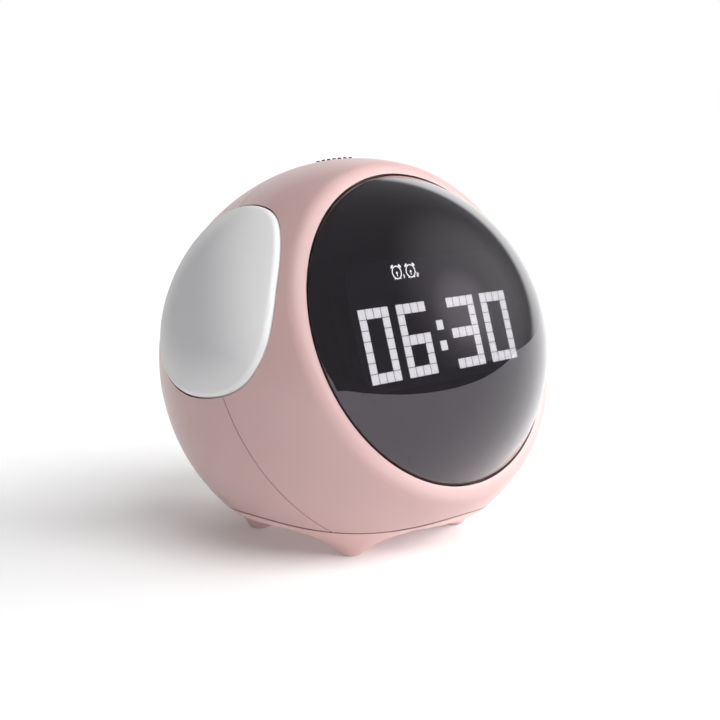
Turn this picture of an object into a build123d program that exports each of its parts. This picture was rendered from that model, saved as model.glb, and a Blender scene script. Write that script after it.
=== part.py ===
from build123d import *

import os
from math import acos, atan2, cos, degrees, hypot, radians, sin, sqrt

# A ball-shaped children's alarm clock: two shells on a four-footed base tray, a domed display
# lens at the front, two press-in night-light ears at the sides and four keys at the back.
# Millimetres, +Z up, the display looks towards -Y. The origin is on the resting plane, under the
# middle of the clock. Heights called z are measured from the centre of the ball.

# ---------------------------------------------------------------- ball
BODY_R = 52.0
WALL = 2.4                    # moulded wall of the shells
CENTRE_Y = 0.8                # the ball's centre, which balances the flat at the back
FOOT_CUT = 5.9                # resting plane over the lowest point of the full ball
FACE_TILT = 22.0              # degrees the display lens leans back
SPLIT_H = 4.9                 # parting plane, along the face axis from the centre
SPLIT_GAP = 0.25
LAP_DEPTH = 1.5               # half-lap joint between the shells
LAP_SKIN = 1.2                # wall of the front shell outside the lap
LAP_CLEARANCE = 0.2
RIB_T = 1.8
FIT = 0.3                     # general clearance between pieces

# ---------------------------------------------------------------- lens and rolled rim
LENS_R = 40.3
LIP_DEPTH = 2.23              # lip of the rolled rim under the ball's surface
LENS_EDGE_ROLL = 3.0          # rolled edge of the lens
LENS_DOME_OFFSET = 3.0        # centre of the dome ahead of the centre of the ball
LENS_WALL = 1.8
RIM_GAP = 0.4                 # dark groove between rim and lens
RIM_ROLL_R = 4.5
SHOULDER_T = 1.8
SHOULDER_INSET = 6.3          # opening behind the bezel, in from the lens
BEZEL_T = 1.4
BEZEL_SCREW_INSET = 4.1
BEZEL_SCREW_ANGLES = (60, 120, 240, 300)
BEZEL_BOSS_H = 4.0
GASKET_T = 0.4
GASKET_W = 1.6
LENS_SKIRT_H = 0.06           # straight part under the rolled edge

# ---------------------------------------------------------------- light panel
PANEL_TILT = 17.0             # degrees the light panel leans back
PANEL_AHEAD = 2.55            # middle of the panel ahead of the lens's edge
PANEL_INSET = 4.8             # sides of the panel, in from the shoulder's opening
PANEL_MARGIN = 1.9            # panel beside the outer cells
PANEL_HEADROOM = 13.0         # panel over and under the cells
PANEL_RISE = 1.6              # panel's middle above the point under the face axis
PANEL_CORNER = 6.0
DIGITS_DROP = 2.8             # digits' middle below that point
CELL_WEB = 0.3                # wall between two cells of the light grid
CELL_COLUMNS = 21
CELL_ROWS = 7
ICON_WINDOW_W = 11.0
ICON_WINDOW_H = 4.8
ICON_X = -6.8
ICON_CLEARANCE = 7.5          # icon window's middle above the top cells
FILM_T = 0.3
GRID_T = 3.7
LED_BOARD_T = 1.6
COLLAR_WALL = 1.4
COLLAR_LOW = 1.0              # collar's edge below the front of the film
LEDGE = 2.2
LEDGE_T = 1.6
PANEL_PLUG_W = 14.0           # connector behind the LED board
PANEL_PLUG_D = 4.0
PANEL_PLUG_H = 2.5

# ---------------------------------------------------------------- ears
EAR_TURN = 6.0                # degrees the ear's axis turns back from sideways
EAR_RISE = 23.5               # degrees the ear's axis rises
EAR_R = 24.6                  # mean radius of the ear's outline
EAR_SHAPE = (                 # outline: angle from the front, share of the mean radius
    (22, 0.869),
    (48, 0.928),
    (68, 0.998),
    (88, 1.020),
    (115, 1.030),
    (148, 1.020),
    (185, 0.998),
    (225, 1.012),
    (262, 0.988),
    (288, 1.000),
    (312, 1.042),
    (339, 0.980),
)
EAR_PROUD = 0.7               # top of the ear over the ball
EAR_WALL = 2.0
EAR_EDGE_R = 2.0              # rolled edge of the ear
EAR_GAP = 0.35                # all round the ear, in its socket
EAR_TRAVEL = 0.8
EAR_SKIRT_DEPTH = 9.7         # lowest edge of the ear under the top of the ball
SOCKET_WALL = 1.4
SOCKET_DEPTH = 11.8           # lowest edge of the socket wall
SEAT_DEPTH = 13.8             # top of the seat plate
SEAT_T = 1.6
SEAT_INSET = 3.6              # edge of the seat plate, in from the ear's mean radius
SEAT_HOLE_R = 6.0
SEAT_SCREW_OUTSET = 2.9
SEAT_SCREW_ANGLES = (84, 140, 230, 322)
SEAT_TAB_W = 5.6
GUIDE_INSET = 7.6             # ring of the guide pins, in from the ear's mean radius
GUIDE_ANGLES = (90, 210, 330)
GUIDE_PIN_R = 1.5
GUIDE_SLEEVE_WALL = 1.2
GUIDE_SLEEVE_H = 4.8
LIGHT_BOARD_INSET = 12.1
LIGHT_BOARD_T = 1.2
LIGHT_BOARD_RISE = 1.8        # over the seat plate
STAKE_R = 0.9
STAKE_INSET = 1.9             # in from the edge of the light board
STAKE_ANGLES = (30, 150, 270)
LED_RING_SHARE = 0.608        # ring of the LEDs, share of the light board's radius
LED_COUNT = 6
LED_SIZE = 1.8
LED_H = 0.8

# ---------------------------------------------------------------- push switches
SWITCH_SIZE = 6.0
SWITCH_H = 3.1
SWITCH_FLOOR = 0.5
PLUNGER_R = 1.4
PLUNGER_OUT = 0.9             # plunger standing out of its housing at rest
PLUNGER_IN = 1.5              # plunger inside its housing at rest
ACTUATOR_R = 2.2

# ---------------------------------------------------------------- back panel
BACK_CUT = 3.8                # flat at the back, in from the full ball
BACK_EDGE_R = 1.2
KEY_NAMES = ("alarm_key", "minus_key", "plus_key", "time_key")
KEY_PITCH = 8.4
KEY_ROW_UP = 4.0
KEY_R = 3.0
KEY_PROUD = 0.8
KEY_EDGE = 0.4                # bevel of the key's top
KEY_TRAVEL = 0.4
KEY_FLANGE_R = 3.8
KEY_FLANGE_T = 1.0
KEY_STEM_H = 0.7
KEY_BOARD_W = 36.0
KEY_BOARD_H = 21.0
KEY_BOARD_UP = 6.2
KEY_BOARD_T = 1.6
KEY_POSTS = ((-12.0, 12.5), (12.0, 12.5), (0.0, -1.5))

# ---------------------------------------------------------------- charging port
PORT_W = 12.6
PORT_H = 7.2
PORT_CORNER = 2.6
PORT_DEPTH = 4.6
PORT_DROP = 11.0              # port's middle below the ball's centre
PORT_WALL = 1.4
PORT_FLOOR = 1.2
USB_W = 8.94
USB_H = 3.26
USB_LENGTH = 7.35
USB_WALL = 0.3
USB_TONGUE_W = 6.69
USB_TONGUE_T = 0.7
USB_RECESS = 0.3              # socket's mouth below the floor of the well

# ---------------------------------------------------------------- main board and battery
MAIN_BOARD_W = 42.0
MAIN_BOARD_FRONT_Y = -12.0
MAIN_BOARD_BACK_GAP = 6.7     # between the board and the flat at the back
MAIN_BOARD_T = 1.6
MAIN_BOARD_MARGIN = 4.5       # between the board's rounded end and the ball
CHIPS = (                     # x, y, width, depth, height
    (0.0, 12.0, 7.0, 7.0, 1.0),
    (-11.0, 13.0, 5.0, 4.0, 1.0),
    (11.0, 31.0, 4.0, 4.0, 0.9),
    (-11.0, -4.0, 6.0, 5.0, 4.2),
)
PLUG_H = 2.4                  # plugs on the main board: x, y, width, depth
DISPLAY_PLUG = (0.0, -7.0, 14.0, 4.0)
KEY_PLUG = (-10.0, 32.0, 8.0, 4.0)
SPEAKER_PLUG = (8.0, 24.0, 5.0, 4.0)
CELL_PLUG = (17.0, 8.0, 5.0, 5.0)
EAR_PLUG = (18.5, 14.0, 3.0, 5.0)
CELL_R = 9.2
CELL_END_ROOM = 1.59          # between an end of the cell and a post of the shells
CELL_Y = 8.0
CELL_CAP_R = 2.6
CELL_CAP_H = 1.0
CRADLE_CLEARANCE = 0.25
CRADLE_WALL_X = 16.0          # saddle walls, each side of the middle
CRADLE_WALL_T = 3.6
CRADLE_FLOOR_T = 1.4
CRADLE_DEPTH = 30.0
CRADLE_SADDLE_H = 14.0
CRADLE_POST_R = 2.6
CRADLE_POST_Y = 14.0          # posts this far from the battery's axis
CRADLE_SCREW_INSET = 3.0

# ---------------------------------------------------------------- base tray and feet
SEAM_RISE = 1.1               # seam over the flat bottom
SEAM_WAVE = 1.25              # the seam swings out between the feet and in at the feet
SEAM_GAP = 0.35
SEAM_GROOVE = 0.7             # shadow groove in the tray behind the gap
SEAM_EDGE_T = 0.5             # edge of the tray under the groove
TRAY_CUT = 13.8               # flat bottom over the lowest point of the full ball
TRAY_WALL = 2.0
TRAY_EDGE_R = 1.5
TRAY_LIP_H = 2.4              # lip over the tray's floor
POST_R = 2.8
POST_H = 9.0
POST_INSET = 7.05             # ring of the posts, in from the seam
POST_RISE = 0.5               # shell posts over the tray's lip
FRONT_POST_ANGLES = (270,)
REAR_POST_ANGLES = (0, 90, 180)
HEAD_SEAT_T = 2.0             # tray wall under the heads of the base screws
FOOT_ANGLE = 41.2             # degrees the feet are turned from sideways
FOOT_INSET = 10.2             # middle of the foot's tip, in from the seam
FOOT_TIP_R = 2.6
FOOT_SECTIONS = (             # height over the tip, half-width, half-depth, outer end in from the seam
    (1.15, 4.5, 4.2, 6.9),
    (2.85, 7.4, 5.6, 5.9),
    (4.05, 9.8, 6.6, 5.1),
    (5.20, 13.0, 7.4, 4.4),
    (6.50, 16.8, 8.0, 3.5),
    (8.90, 20.0, 8.4, 2.2),
)
FOOT_POCKET_R = 4.6
FOOT_POCKET_END_R = 2.4
FOOT_POCKET_LIFT = 3.4        # floor of the pocket over the foot's tip
PAD_R = 2.0
PAD_PROUD = 0.25
PAD_SEAT = 0.8
PAD_CLEARANCE = 0.1

# ---------------------------------------------------------------- speaker
SPEAKER_BACK = 8.5            # grille's middle behind the top of the ball
HOLE_PITCH = 2.0
HOLE_R = 0.5
HOLE_GRID = 5
SPEAKER_R = 11.5
SPEAKER_DEPTH = 4.8           # front of the speaker under the top of the ball
SPEAKER_H = 4.2
SPEAKER_RING_WALL = 1.2
SPEAKER_FLANGE_T = 0.8
CONE_R = 9.6
CONE_T = 0.4
MAGNET_R = 6.5
MAGNET_H = 3.4
MESH_R = 8.6                  # soft mesh under the sound holes
MESH_T = 0.4
MESH_PROUD = 0.3              # nubs of the mesh over the top of the ball
MESH_FIT = 0.05
SPEAKER_SCREW_X = 15.4
SPEAKER_SCREW_FORWARD = 2.0
BRACKET_T = 1.5
BRACKET_RING_R = 9.4
BRACKET_ARM_W = 6.0

# ---------------------------------------------------------------- leads
LEAD_R = 0.8
LEAD_BEND = 1.8               # inner pieces' leads and ribbons bend on this radius
LEAD_REACH = 2.5              # straight run beyond a cell's end
EAR_LEAD_REACH = 8.0          # straight run behind the light board
PLUG_RUN = 12.0               # straight run over a plug
RIBBON_T = 0.3
PANEL_RIBBON_W = 12.0
PANEL_RIBBON_REACH = 9.0      # straight run behind the LED board
KEY_RIBBON_W = 7.0
KEY_RIBBON_Z = -1.0
KEY_RIBBON_REACH = 4.2        # straight run in front of the key board

# ---------------------------------------------------------------- screws
SCREW_R = 1.0
SCREW_HEAD_R = 2.0
SCREW_HEAD_H = 1.2
SCREW_LENGTH = 5.0
BASE_SCREW_LENGTH = 6.5
CRADLE_SCREW_LENGTH = 2.9
GUIDE_SCREW_R = 0.7
GUIDE_SCREW_HEAD_R = 2.6
PILOT_CLEARANCE = 0.05
HOLE_CLEARANCE = 0.3
BOSS_R = 2.4

# ---------------------------------------------------------------- worked out from the above
INNER_R = BODY_R - WALL
MERGE_R = BODY_R - WALL / 2   # ribs and bosses end inside the wall
CENTRE_Z = BODY_R - FOOT_CUT
BORE_R = LENS_R + RIM_GAP
LENS_EDGE_H = sqrt((BODY_R - LIP_DEPTH) ** 2 - BORE_R**2)
DOME_R = hypot(LENS_R, LENS_EDGE_H - LENS_DOME_OFFSET)
LENS_ROLL_CENTRE_R = LENS_R - LENS_EDGE_ROLL
LENS_ROLL_DISTANCE = DOME_R - LENS_EDGE_ROLL
LENS_ROLL_RISE = sqrt(LENS_ROLL_DISTANCE**2 - LENS_ROLL_CENTRE_R**2)
LENS_SKIRT_TOP_H = LENS_DOME_OFFSET + LENS_ROLL_RISE
LENS_SKIRT_BOTTOM_H = LENS_SKIRT_TOP_H - LENS_SKIRT_H
BEZEL_TOP_H = LENS_SKIRT_BOTTOM_H - GASKET_T
BEZEL_SCREW_R = LENS_R - BEZEL_SCREW_INSET
SHOULDER_R = LENS_R - SHOULDER_INSET
SHOULDER_H = BEZEL_TOP_H - BEZEL_T
LAP_OUTER_R = BODY_R - LAP_SKIN
LAP_TOP_H = SPLIT_H + LAP_DEPTH
PANEL_DISTANCE = LENS_EDGE_H + PANEL_AHEAD
PANEL_W = 2 * (SHOULDER_R - PANEL_INSET)
CELL_PITCH = (PANEL_W - 2 * PANEL_MARGIN) / CELL_COLUMNS
CELL_WINDOW = CELL_PITCH - CELL_WEB
PANEL_H = CELL_ROWS * CELL_PITCH + PANEL_HEADROOM
ICON_RISE = CELL_ROWS * CELL_PITCH / 2 + ICON_CLEARANCE
LED_BOARD_TOP = -FILM_T - GRID_T
LED_BOARD_BOTTOM = LED_BOARD_TOP - LED_BOARD_T
EAR_OUTER_R = BODY_R + EAR_PROUD
EAR_SKIRT_W = BODY_R - EAR_SKIRT_DEPTH
SOCKET_W = BODY_R - SOCKET_DEPTH
SEAT_W = BODY_R - SEAT_DEPTH
SEAT_R = EAR_R - SEAT_INSET
SEAT_SCREW_R = EAR_R + SEAT_SCREW_OUTSET
GUIDE_R = EAR_R - GUIDE_INSET
LIGHT_BOARD_R = EAR_R - LIGHT_BOARD_INSET
STAKE_RING_R = LIGHT_BOARD_R - STAKE_INSET
LED_RING_R = LIGHT_BOARD_R * LED_RING_SHARE
SLEEVE_BORE_R = GUIDE_PIN_R + FIT
LIGHT_BOARD_W = SEAT_W + LIGHT_BOARD_RISE
EAR_SWITCH_W = LIGHT_BOARD_W + LIGHT_BOARD_T
ACTUATOR_W = EAR_SWITCH_W + SWITCH_H + PLUNGER_OUT
PIN_END_W = SEAT_W - SEAT_T - FIT
BACK_FLAT_Y = BODY_R - BACK_CUT
BACK_INNER_Y = BACK_FLAT_Y - WALL
KEY_FLANGE_TOP_Y = BACK_INNER_Y - FIT
KEY_STEM_END_Y = KEY_FLANGE_TOP_Y - KEY_FLANGE_T - KEY_STEM_H
KEY_BOARD_TOP_Y = KEY_STEM_END_Y - PLUNGER_OUT - SWITCH_H
PORT_FLOOR_Y = BACK_FLAT_Y - PORT_DEPTH
USB_MOUTH_Y = PORT_FLOOR_Y - USB_RECESS
MAIN_BOARD_BACK_Y = BACK_FLAT_Y - MAIN_BOARD_BACK_GAP
MAIN_BOARD_TOP_Z = -PORT_DROP - USB_H / 2
MAIN_BOARD_Z = MAIN_BOARD_TOP_Z - MAIN_BOARD_T
PLUG_TOP_Z = MAIN_BOARD_TOP_Z + PLUG_H
TRAY_BOTTOM_Z = TRAY_CUT - BODY_R
SEAM_R = sqrt(BODY_R**2 - (TRAY_BOTTOM_Z + SEAM_RISE) ** 2)
TRAY_FLOOR_Z = TRAY_BOTTOM_Z + TRAY_WALL
TRAY_LIP_Z = TRAY_FLOOR_Z + TRAY_LIP_H
CRADLE_FLOOR_Z = TRAY_FLOOR_Z + CRADLE_FLOOR_T
CELL_Z = CRADLE_FLOOR_Z + CRADLE_CLEARANCE + CELL_R
CRADLE_SCREW_Y = CRADLE_DEPTH / 2 - CRADLE_SCREW_INSET
CRADLE_SCREW_PLACES = ((0, CELL_Y - CRADLE_SCREW_Y), (0, CELL_Y + CRADLE_SCREW_Y))
POST_RING_R = SEAM_R - POST_INSET
CELL_LENGTH = 2 * (POST_RING_R - POST_R - CELL_END_ROOM)
TIP_REACH = SEAM_R - FOOT_INSET
POST_BOTTOM_Z = TRAY_LIP_Z + POST_RISE
POST_SEAT_Z = POST_BOTTOM_Z - SEAM_GAP
HEAD_SEAT_Z = POST_SEAT_Z - HEAD_SEAT_T
RESTING_Z = -CENTRE_Z
TIP_Z = RESTING_Z + PAD_PROUD
SPEAKER_TOP_W = BODY_R - SPEAKER_DEPTH
SPEAKER_FLOOR_W = SPEAKER_TOP_W - SPEAKER_H
BIG = 4 * BODY_R

# ---------------------------------------------------------------- frames of reference
CENTRE = Vector(0, CENTRE_Y, CENTRE_Z)
BODY = Plane(origin=CENTRE, x_dir=(1, 0, 0), z_dir=(0, 0, 1))
FACE_NORMAL = Vector(0, -cos(radians(FACE_TILT)), sin(radians(FACE_TILT)))
FACE = Plane(origin=CENTRE, x_dir=(1, 0, 0), z_dir=FACE_NORMAL)
PANEL_NORMAL = Vector(0, -cos(radians(PANEL_TILT)), sin(radians(PANEL_TILT)))
PANEL = Plane(origin=CENTRE + FACE_NORMAL * PANEL_DISTANCE, x_dir=(1, 0, 0), z_dir=PANEL_NORMAL)
BACK = Plane(origin=CENTRE, x_dir=(-1, 0, 0), z_dir=(0, 1, 0))
PORT = BACK * Pos(0, -PORT_DROP, 0)
EAR_NORMAL = Vector(
    -cos(radians(EAR_RISE)) * cos(radians(EAR_TURN)),
    cos(radians(EAR_RISE)) * sin(radians(EAR_TURN)),
    sin(radians(EAR_RISE)),
)
EAR_FRONT = Vector(-sin(radians(EAR_TURN)), -cos(radians(EAR_TURN)), 0)
EAR = Plane(origin=CENTRE, x_dir=EAR_FRONT, z_dir=EAR_NORMAL)
SPEAKER_LEAN = SPEAKER_BACK / BODY_R
SPEAKER_NORMAL = Vector(0, SPEAKER_LEAN, sqrt(1 - SPEAKER_LEAN**2))
SPEAKER = Plane(origin=CENTRE, x_dir=(1, 0, 0), z_dir=SPEAKER_NORMAL)


# ---------------------------------------------------------------- small helpers
def on_sphere(radius, height):
    """Point (r, h) of a circle of this radius about the origin, at this height."""
    return (sqrt(radius**2 - height**2), height)


def on_circle(radius, angle):
    """Point (x, y) of a circle about the origin, at this angle in degrees."""
    return (radius * cos(radians(angle)), radius * sin(radians(angle)))


def arc(centre, start, end):
    """Arc of a profile from start to end about a centre, the shorter way."""
    radius = hypot(start[0] - centre[0], start[1] - centre[1])
    start_angle = degrees(atan2(start[1] - centre[1], start[0] - centre[0]))
    end_angle = degrees(atan2(end[1] - centre[1], end[0] - centre[0]))
    middle = on_circle(radius, (start_angle + end_angle) / 2)
    return ThreePointArc(start, (centre[0] + middle[0], centre[1] + middle[1]), end)


def turned(*curves):
    """Solid of revolution about +Z from the curves of a closed (r, z) profile."""
    return revolve(Plane.XZ * make_face(list(curves)), Axis.Z)


def turned_polygon(*points):
    """Solid of revolution about +Z from a closed polygon of (r, z) points."""
    return turned(Polyline(*points, close=True))


def rod(radius, bottom, top):
    """Upright cylinder between two heights."""
    return Pos(0, 0, bottom) * Cylinder(radius, top - bottom, align=(Align.CENTER, Align.CENTER, Align.MIN))


def tube(outer, inner, bottom, top):
    """Upright tube between two heights."""
    return rod(outer, bottom, top) - rod(inner, bottom, top)


def block(width, depth, bottom, top):
    """Upright box between two heights."""
    return Pos(0, 0, bottom) * Box(width, depth, top - bottom, align=(Align.CENTER, Align.CENTER, Align.MIN))


def rounded_block(width, depth, corner, bottom, top):
    """Upright box with rounded corners between two heights."""
    return Pos(0, 0, bottom) * extrude(RectangleRounded(width, depth, corner), top - bottom)


def above(height):
    """Large block over a height."""
    return block(BIG, BIG, height, height + BIG)


def below(height):
    """Large block under a height."""
    return block(BIG, BIG, height - BIG, height)


def mirrored(solid):
    """The same piece for the other side of the clock."""
    return mirror(solid, about=Plane.YZ)


def both_sides(solid):
    """A piece together with its mirror image on the other side of the clock."""
    return solid + mirrored(solid)


def copies(solid, places):
    """Copies of one solid at several (x, y) places."""
    return Part() + [Pos(x, y, 0) * solid for x, y in places]


def around(radius, angles):
    """Places (x, y) on a circle at several angles."""
    return [on_circle(radius, angle) for angle in angles]


def screw(length=SCREW_LENGTH, shank_r=SCREW_R, head_r=SCREW_HEAD_R):
    """Screw with the underside of its flat head at z=0 and its tip at -length."""
    return rod(shank_r, -length, 0) + rod(head_r, 0, SCREW_HEAD_H)


def raised_screw(height, length=SCREW_LENGTH, shank_r=SCREW_R, head_r=SCREW_HEAD_R):
    """The same screw put in from below, with its head under this height."""
    return Pos(0, 0, height) * Rot(180, 0, 0) * screw(length, shank_r, head_r)


def pilot(bottom, top, shank_r=SCREW_R):
    """Hole that a screw cuts its thread in."""
    return rod(shank_r + PILOT_CLEARANCE, bottom, top)


def clearance_hole(bottom, top):
    """Hole that a screw passes through."""
    return rod(SCREW_R + HOLE_CLEARANCE, bottom, top)


# ---------------------------------------------------------------- shared outlines
def seam_prism(inset, bottom, top):
    """Upright prism inside the base seam, which swings in at the four feet."""
    points = []
    for side_angle, next_foot in ((0, FOOT_ANGLE), (90, 90 - FOOT_ANGLE), (180, FOOT_ANGLE), (270, 90 - FOOT_ANGLE)):
        points.append(on_circle(SEAM_R + SEAM_WAVE - inset, side_angle))
        points.append(on_circle(SEAM_R - SEAM_WAVE - inset, side_angle + next_foot))
    outline = make_face(Spline(*points, periodic=True))
    return Pos(0, 0, bottom) * extrude(outline, top - bottom)


def ear_prism(grow, bottom, top):
    """Prism of the ear's outline along its own axis."""
    points = [on_circle(EAR_R * share + grow, angle) for angle, share in EAR_SHAPE]
    outline = make_face(Spline(*points, periodic=True))
    return Pos(0, 0, bottom) * extrude(outline, top - bottom)


# ---------------------------------------------------------------- rings of the ball
def front_ring():
    """Front part of the ball with its rolled rim, lens bore and bezel shoulder, about the face axis."""
    lip = (BORE_R, LENS_EDGE_H)
    lip_distance = hypot(*lip)
    roll_distance = BODY_R - RIM_ROLL_R
    spread = acos(
        (roll_distance**2 + lip_distance**2 - RIM_ROLL_R**2) / (2 * roll_distance * lip_distance)
    )
    elevation = atan2(LENS_EDGE_H, BORE_R) - spread
    roll_centre = (roll_distance * cos(elevation), roll_distance * sin(elevation))
    roll_start = (BODY_R * cos(elevation), BODY_R * sin(elevation))
    outer_edge = on_sphere(BODY_R, SPLIT_H)
    inner_edge = on_sphere(INNER_R, LAP_TOP_H)
    shoulder_root = on_sphere(INNER_R, SHOULDER_H - SHOULDER_T)
    return turned(
        arc((0, 0), outer_edge, roll_start),
        arc(roll_centre, roll_start, lip),
        Polyline(
            lip,
            (BORE_R, SHOULDER_H),
            (SHOULDER_R, SHOULDER_H),
            (SHOULDER_R, SHOULDER_H - SHOULDER_T),
            shoulder_root,
        ),
        arc((0, 0), shoulder_root, inner_edge),
        Polyline(inner_edge, (LAP_OUTER_R, LAP_TOP_H), (LAP_OUTER_R, SPLIT_H), outer_edge),
    )


def rear_ring():
    """Rear part of the ball with the tongue of the half-lap joint, about the face axis."""
    outer_edge = on_sphere(BODY_R, SPLIT_H - SPLIT_GAP)
    tongue_r = LAP_OUTER_R - LAP_CLEARANCE
    tongue_top_h = LAP_TOP_H - LAP_CLEARANCE
    inner_edge = on_sphere(INNER_R, tongue_top_h)
    return turned(
        arc((0, 0), outer_edge, (0, -BODY_R)),
        Line((0, -BODY_R), (0, -INNER_R)),
        arc((0, 0), (0, -INNER_R), inner_edge),
        Polyline(inner_edge, (tongue_r, tongue_top_h), (tongue_r, SPLIT_H - SPLIT_GAP), outer_edge),
    )


# ---------------------------------------------------------------- features of the shells
def ear_mount():
    """Socket wall and seat bosses of one ear, in the ear's frame."""
    wall = ear_prism(EAR_GAP + SOCKET_WALL, SOCKET_W, BODY_R)
    bosses = copies(rod(BOSS_R, SEAT_W, BODY_R), around(SEAT_SCREW_R, SEAT_SCREW_ANGLES))
    return (wall + bosses) & Sphere(MERGE_R)


def ear_mount_cuts():
    """Opening for one ear and the pilot holes of its seat bosses, in the ear's frame."""
    opening = ear_prism(EAR_GAP, SOCKET_W - WALL, BODY_R + WALL)
    pilot_top = SEAT_W - SEAT_T + SCREW_LENGTH + FIT
    return opening + copies(pilot(SEAT_W, pilot_top), around(SEAT_SCREW_R, SEAT_SCREW_ANGLES))


def base_posts(angles):
    """Screw posts over the base tray, each with a web to the wall, in the ball's frame."""
    post = rod(POST_R, POST_BOTTOM_Z, POST_BOTTOM_Z + POST_H)
    web_reach = BODY_R - POST_RING_R
    web = Pos(web_reach / 2, 0, 0) * block(web_reach, RIB_T, POST_BOTTOM_Z, POST_BOTTOM_Z + POST_H)
    posts = Part() + [Rot(0, 0, angle) * Pos(POST_RING_R, 0, 0) * (post + web) for angle in angles]
    return posts & Sphere(MERGE_R)


def base_post_pilots(angles):
    """Pilot holes up the base posts, in the ball's frame."""
    top = HEAD_SEAT_Z + BASE_SCREW_LENGTH + FIT
    return copies(pilot(POST_BOTTOM_Z, top), around(POST_RING_R, angles))


def bezel_bosses():
    """Bosses behind the shoulder for the bezel's screws, about the face axis."""
    bottom = SHOULDER_H - SHOULDER_T - BEZEL_BOSS_H
    return copies(rod(BOSS_R, bottom, SHOULDER_H), around(BEZEL_SCREW_R, BEZEL_SCREW_ANGLES))


def bezel_pilots():
    """Pilot holes for the bezel's screws, about the face axis."""
    bottom = BEZEL_TOP_H - SCREW_LENGTH - FIT
    return copies(pilot(bottom, SHOULDER_H), around(BEZEL_SCREW_R, BEZEL_SCREW_ANGLES))


def speaker_mount():
    """Locating ring and screw bosses of the speaker, in the speaker's frame."""
    ring = tube(SPEAKER_R + FIT + SPEAKER_RING_WALL, SPEAKER_R + FIT, SPEAKER_FLOOR_W, BODY_R)
    bosses = copies(rod(BOSS_R, SPEAKER_FLOOR_W, BODY_R), speaker_screw_places())
    return (ring + bosses) & Sphere(MERGE_R)


def speaker_screw_places():
    """Places of the two speaker screws, in the speaker's frame."""
    return [(side * SPEAKER_SCREW_X, -SPEAKER_SCREW_FORWARD) for side in (-1, 1)]


def hole_places():
    """Places of the sound holes, in the speaker's frame: a square grid without its corners."""
    half = HOLE_GRID // 2
    steps = range(-half, half + 1)
    return [(i * HOLE_PITCH, j * HOLE_PITCH) for i in steps for j in steps if abs(i) + abs(j) < 2 * half]


def speaker_cuts():
    """Sound holes and pilot holes of the speaker, in the speaker's frame."""
    holes = copies(rod(HOLE_R, INNER_R - WALL, BODY_R + WALL), hole_places())
    pilot_top = SPEAKER_FLOOR_W - BRACKET_T + SCREW_LENGTH + FIT
    return holes + copies(pilot(SPEAKER_FLOOR_W, pilot_top), speaker_screw_places())


def key_places():
    """Places of the keys in the back panel."""
    middle = (len(KEY_NAMES) - 1) / 2
    return [((index - middle) * KEY_PITCH, KEY_ROW_UP) for index in range(len(KEY_NAMES))]


def back_panel_cuts():
    """Key holes, charging port and pilot holes of the key board, in the back's frame."""
    cuts = copies(rod(KEY_R + FIT, BACK_INNER_Y, BACK_FLAT_Y), key_places())
    pilot_bottom = KEY_BOARD_TOP_Y
    pilot_top = KEY_BOARD_TOP_Y - KEY_BOARD_T + SCREW_LENGTH + FIT
    cuts += copies(pilot(pilot_bottom, pilot_top), KEY_POSTS)
    cuts += Pos(0, -PORT_DROP, 0) * rounded_block(PORT_W, PORT_H, PORT_CORNER, PORT_FLOOR_Y, BACK_FLAT_Y)
    mouth_w = USB_W + 2 * FIT
    mouth_h = USB_H + 2 * FIT
    mouth_bottom = PORT_FLOOR_Y - PORT_FLOOR
    cuts += Pos(0, -PORT_DROP, 0) * extrude(
        Plane.XY.offset(mouth_bottom) * SlotOverall(mouth_w, mouth_h), PORT_FLOOR
    )
    return cuts


def back_panel():
    """Flat wall, port well and key board posts added to the rear shell, in the back's frame."""
    flat_r = sqrt(INNER_R**2 - BACK_INNER_Y**2)
    panel = rod(flat_r + WALL, BACK_INNER_Y, BACK_FLAT_Y - BACK_EDGE_R) & Sphere(MERGE_R)
    panel += rod(sqrt(MERGE_R**2 - BACK_FLAT_Y**2), BACK_INNER_Y, BACK_FLAT_Y)
    well = rounded_block(
        PORT_W + 2 * PORT_WALL,
        PORT_H + 2 * PORT_WALL,
        PORT_CORNER + PORT_WALL,
        PORT_FLOOR_Y - PORT_FLOOR,
        BACK_INNER_Y,
    )
    panel += Pos(0, -PORT_DROP, 0) * well
    return panel + copies(rod(BOSS_R, KEY_BOARD_TOP_Y, BACK_INNER_Y), KEY_POSTS)


# ---------------------------------------------------------------- shells
def build_front_shell():
    """Front shell: rolled rim, lens bore, ear sockets, sound holes, ribs and bosses."""
    shell = FACE * (front_ring() + bezel_bosses())
    features = both_sides(EAR * ear_mount())
    features += SPEAKER * speaker_mount()
    features += BODY * base_posts(FRONT_POST_ANGLES) - FACE * above(SHOULDER_H - SHOULDER_T)
    features &= FACE * above(SPLIT_H)
    tongue_room_r = on_sphere(INNER_R, LAP_TOP_H)[0] - LAP_CLEARANCE
    features -= FACE * tube(BODY_R, tongue_room_r, SPLIT_H, LAP_TOP_H)
    features -= FACE * rod(BORE_R, SHOULDER_H, BODY_R)
    shell += features
    shell -= FACE * bezel_pilots()
    shell -= both_sides(EAR * ear_mount_cuts())
    shell -= SPEAKER * speaker_cuts()
    shell -= BODY * seam_prism(0, -BODY_R, POST_BOTTOM_Z)
    return shell - BODY * base_post_pilots(FRONT_POST_ANGLES)


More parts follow.
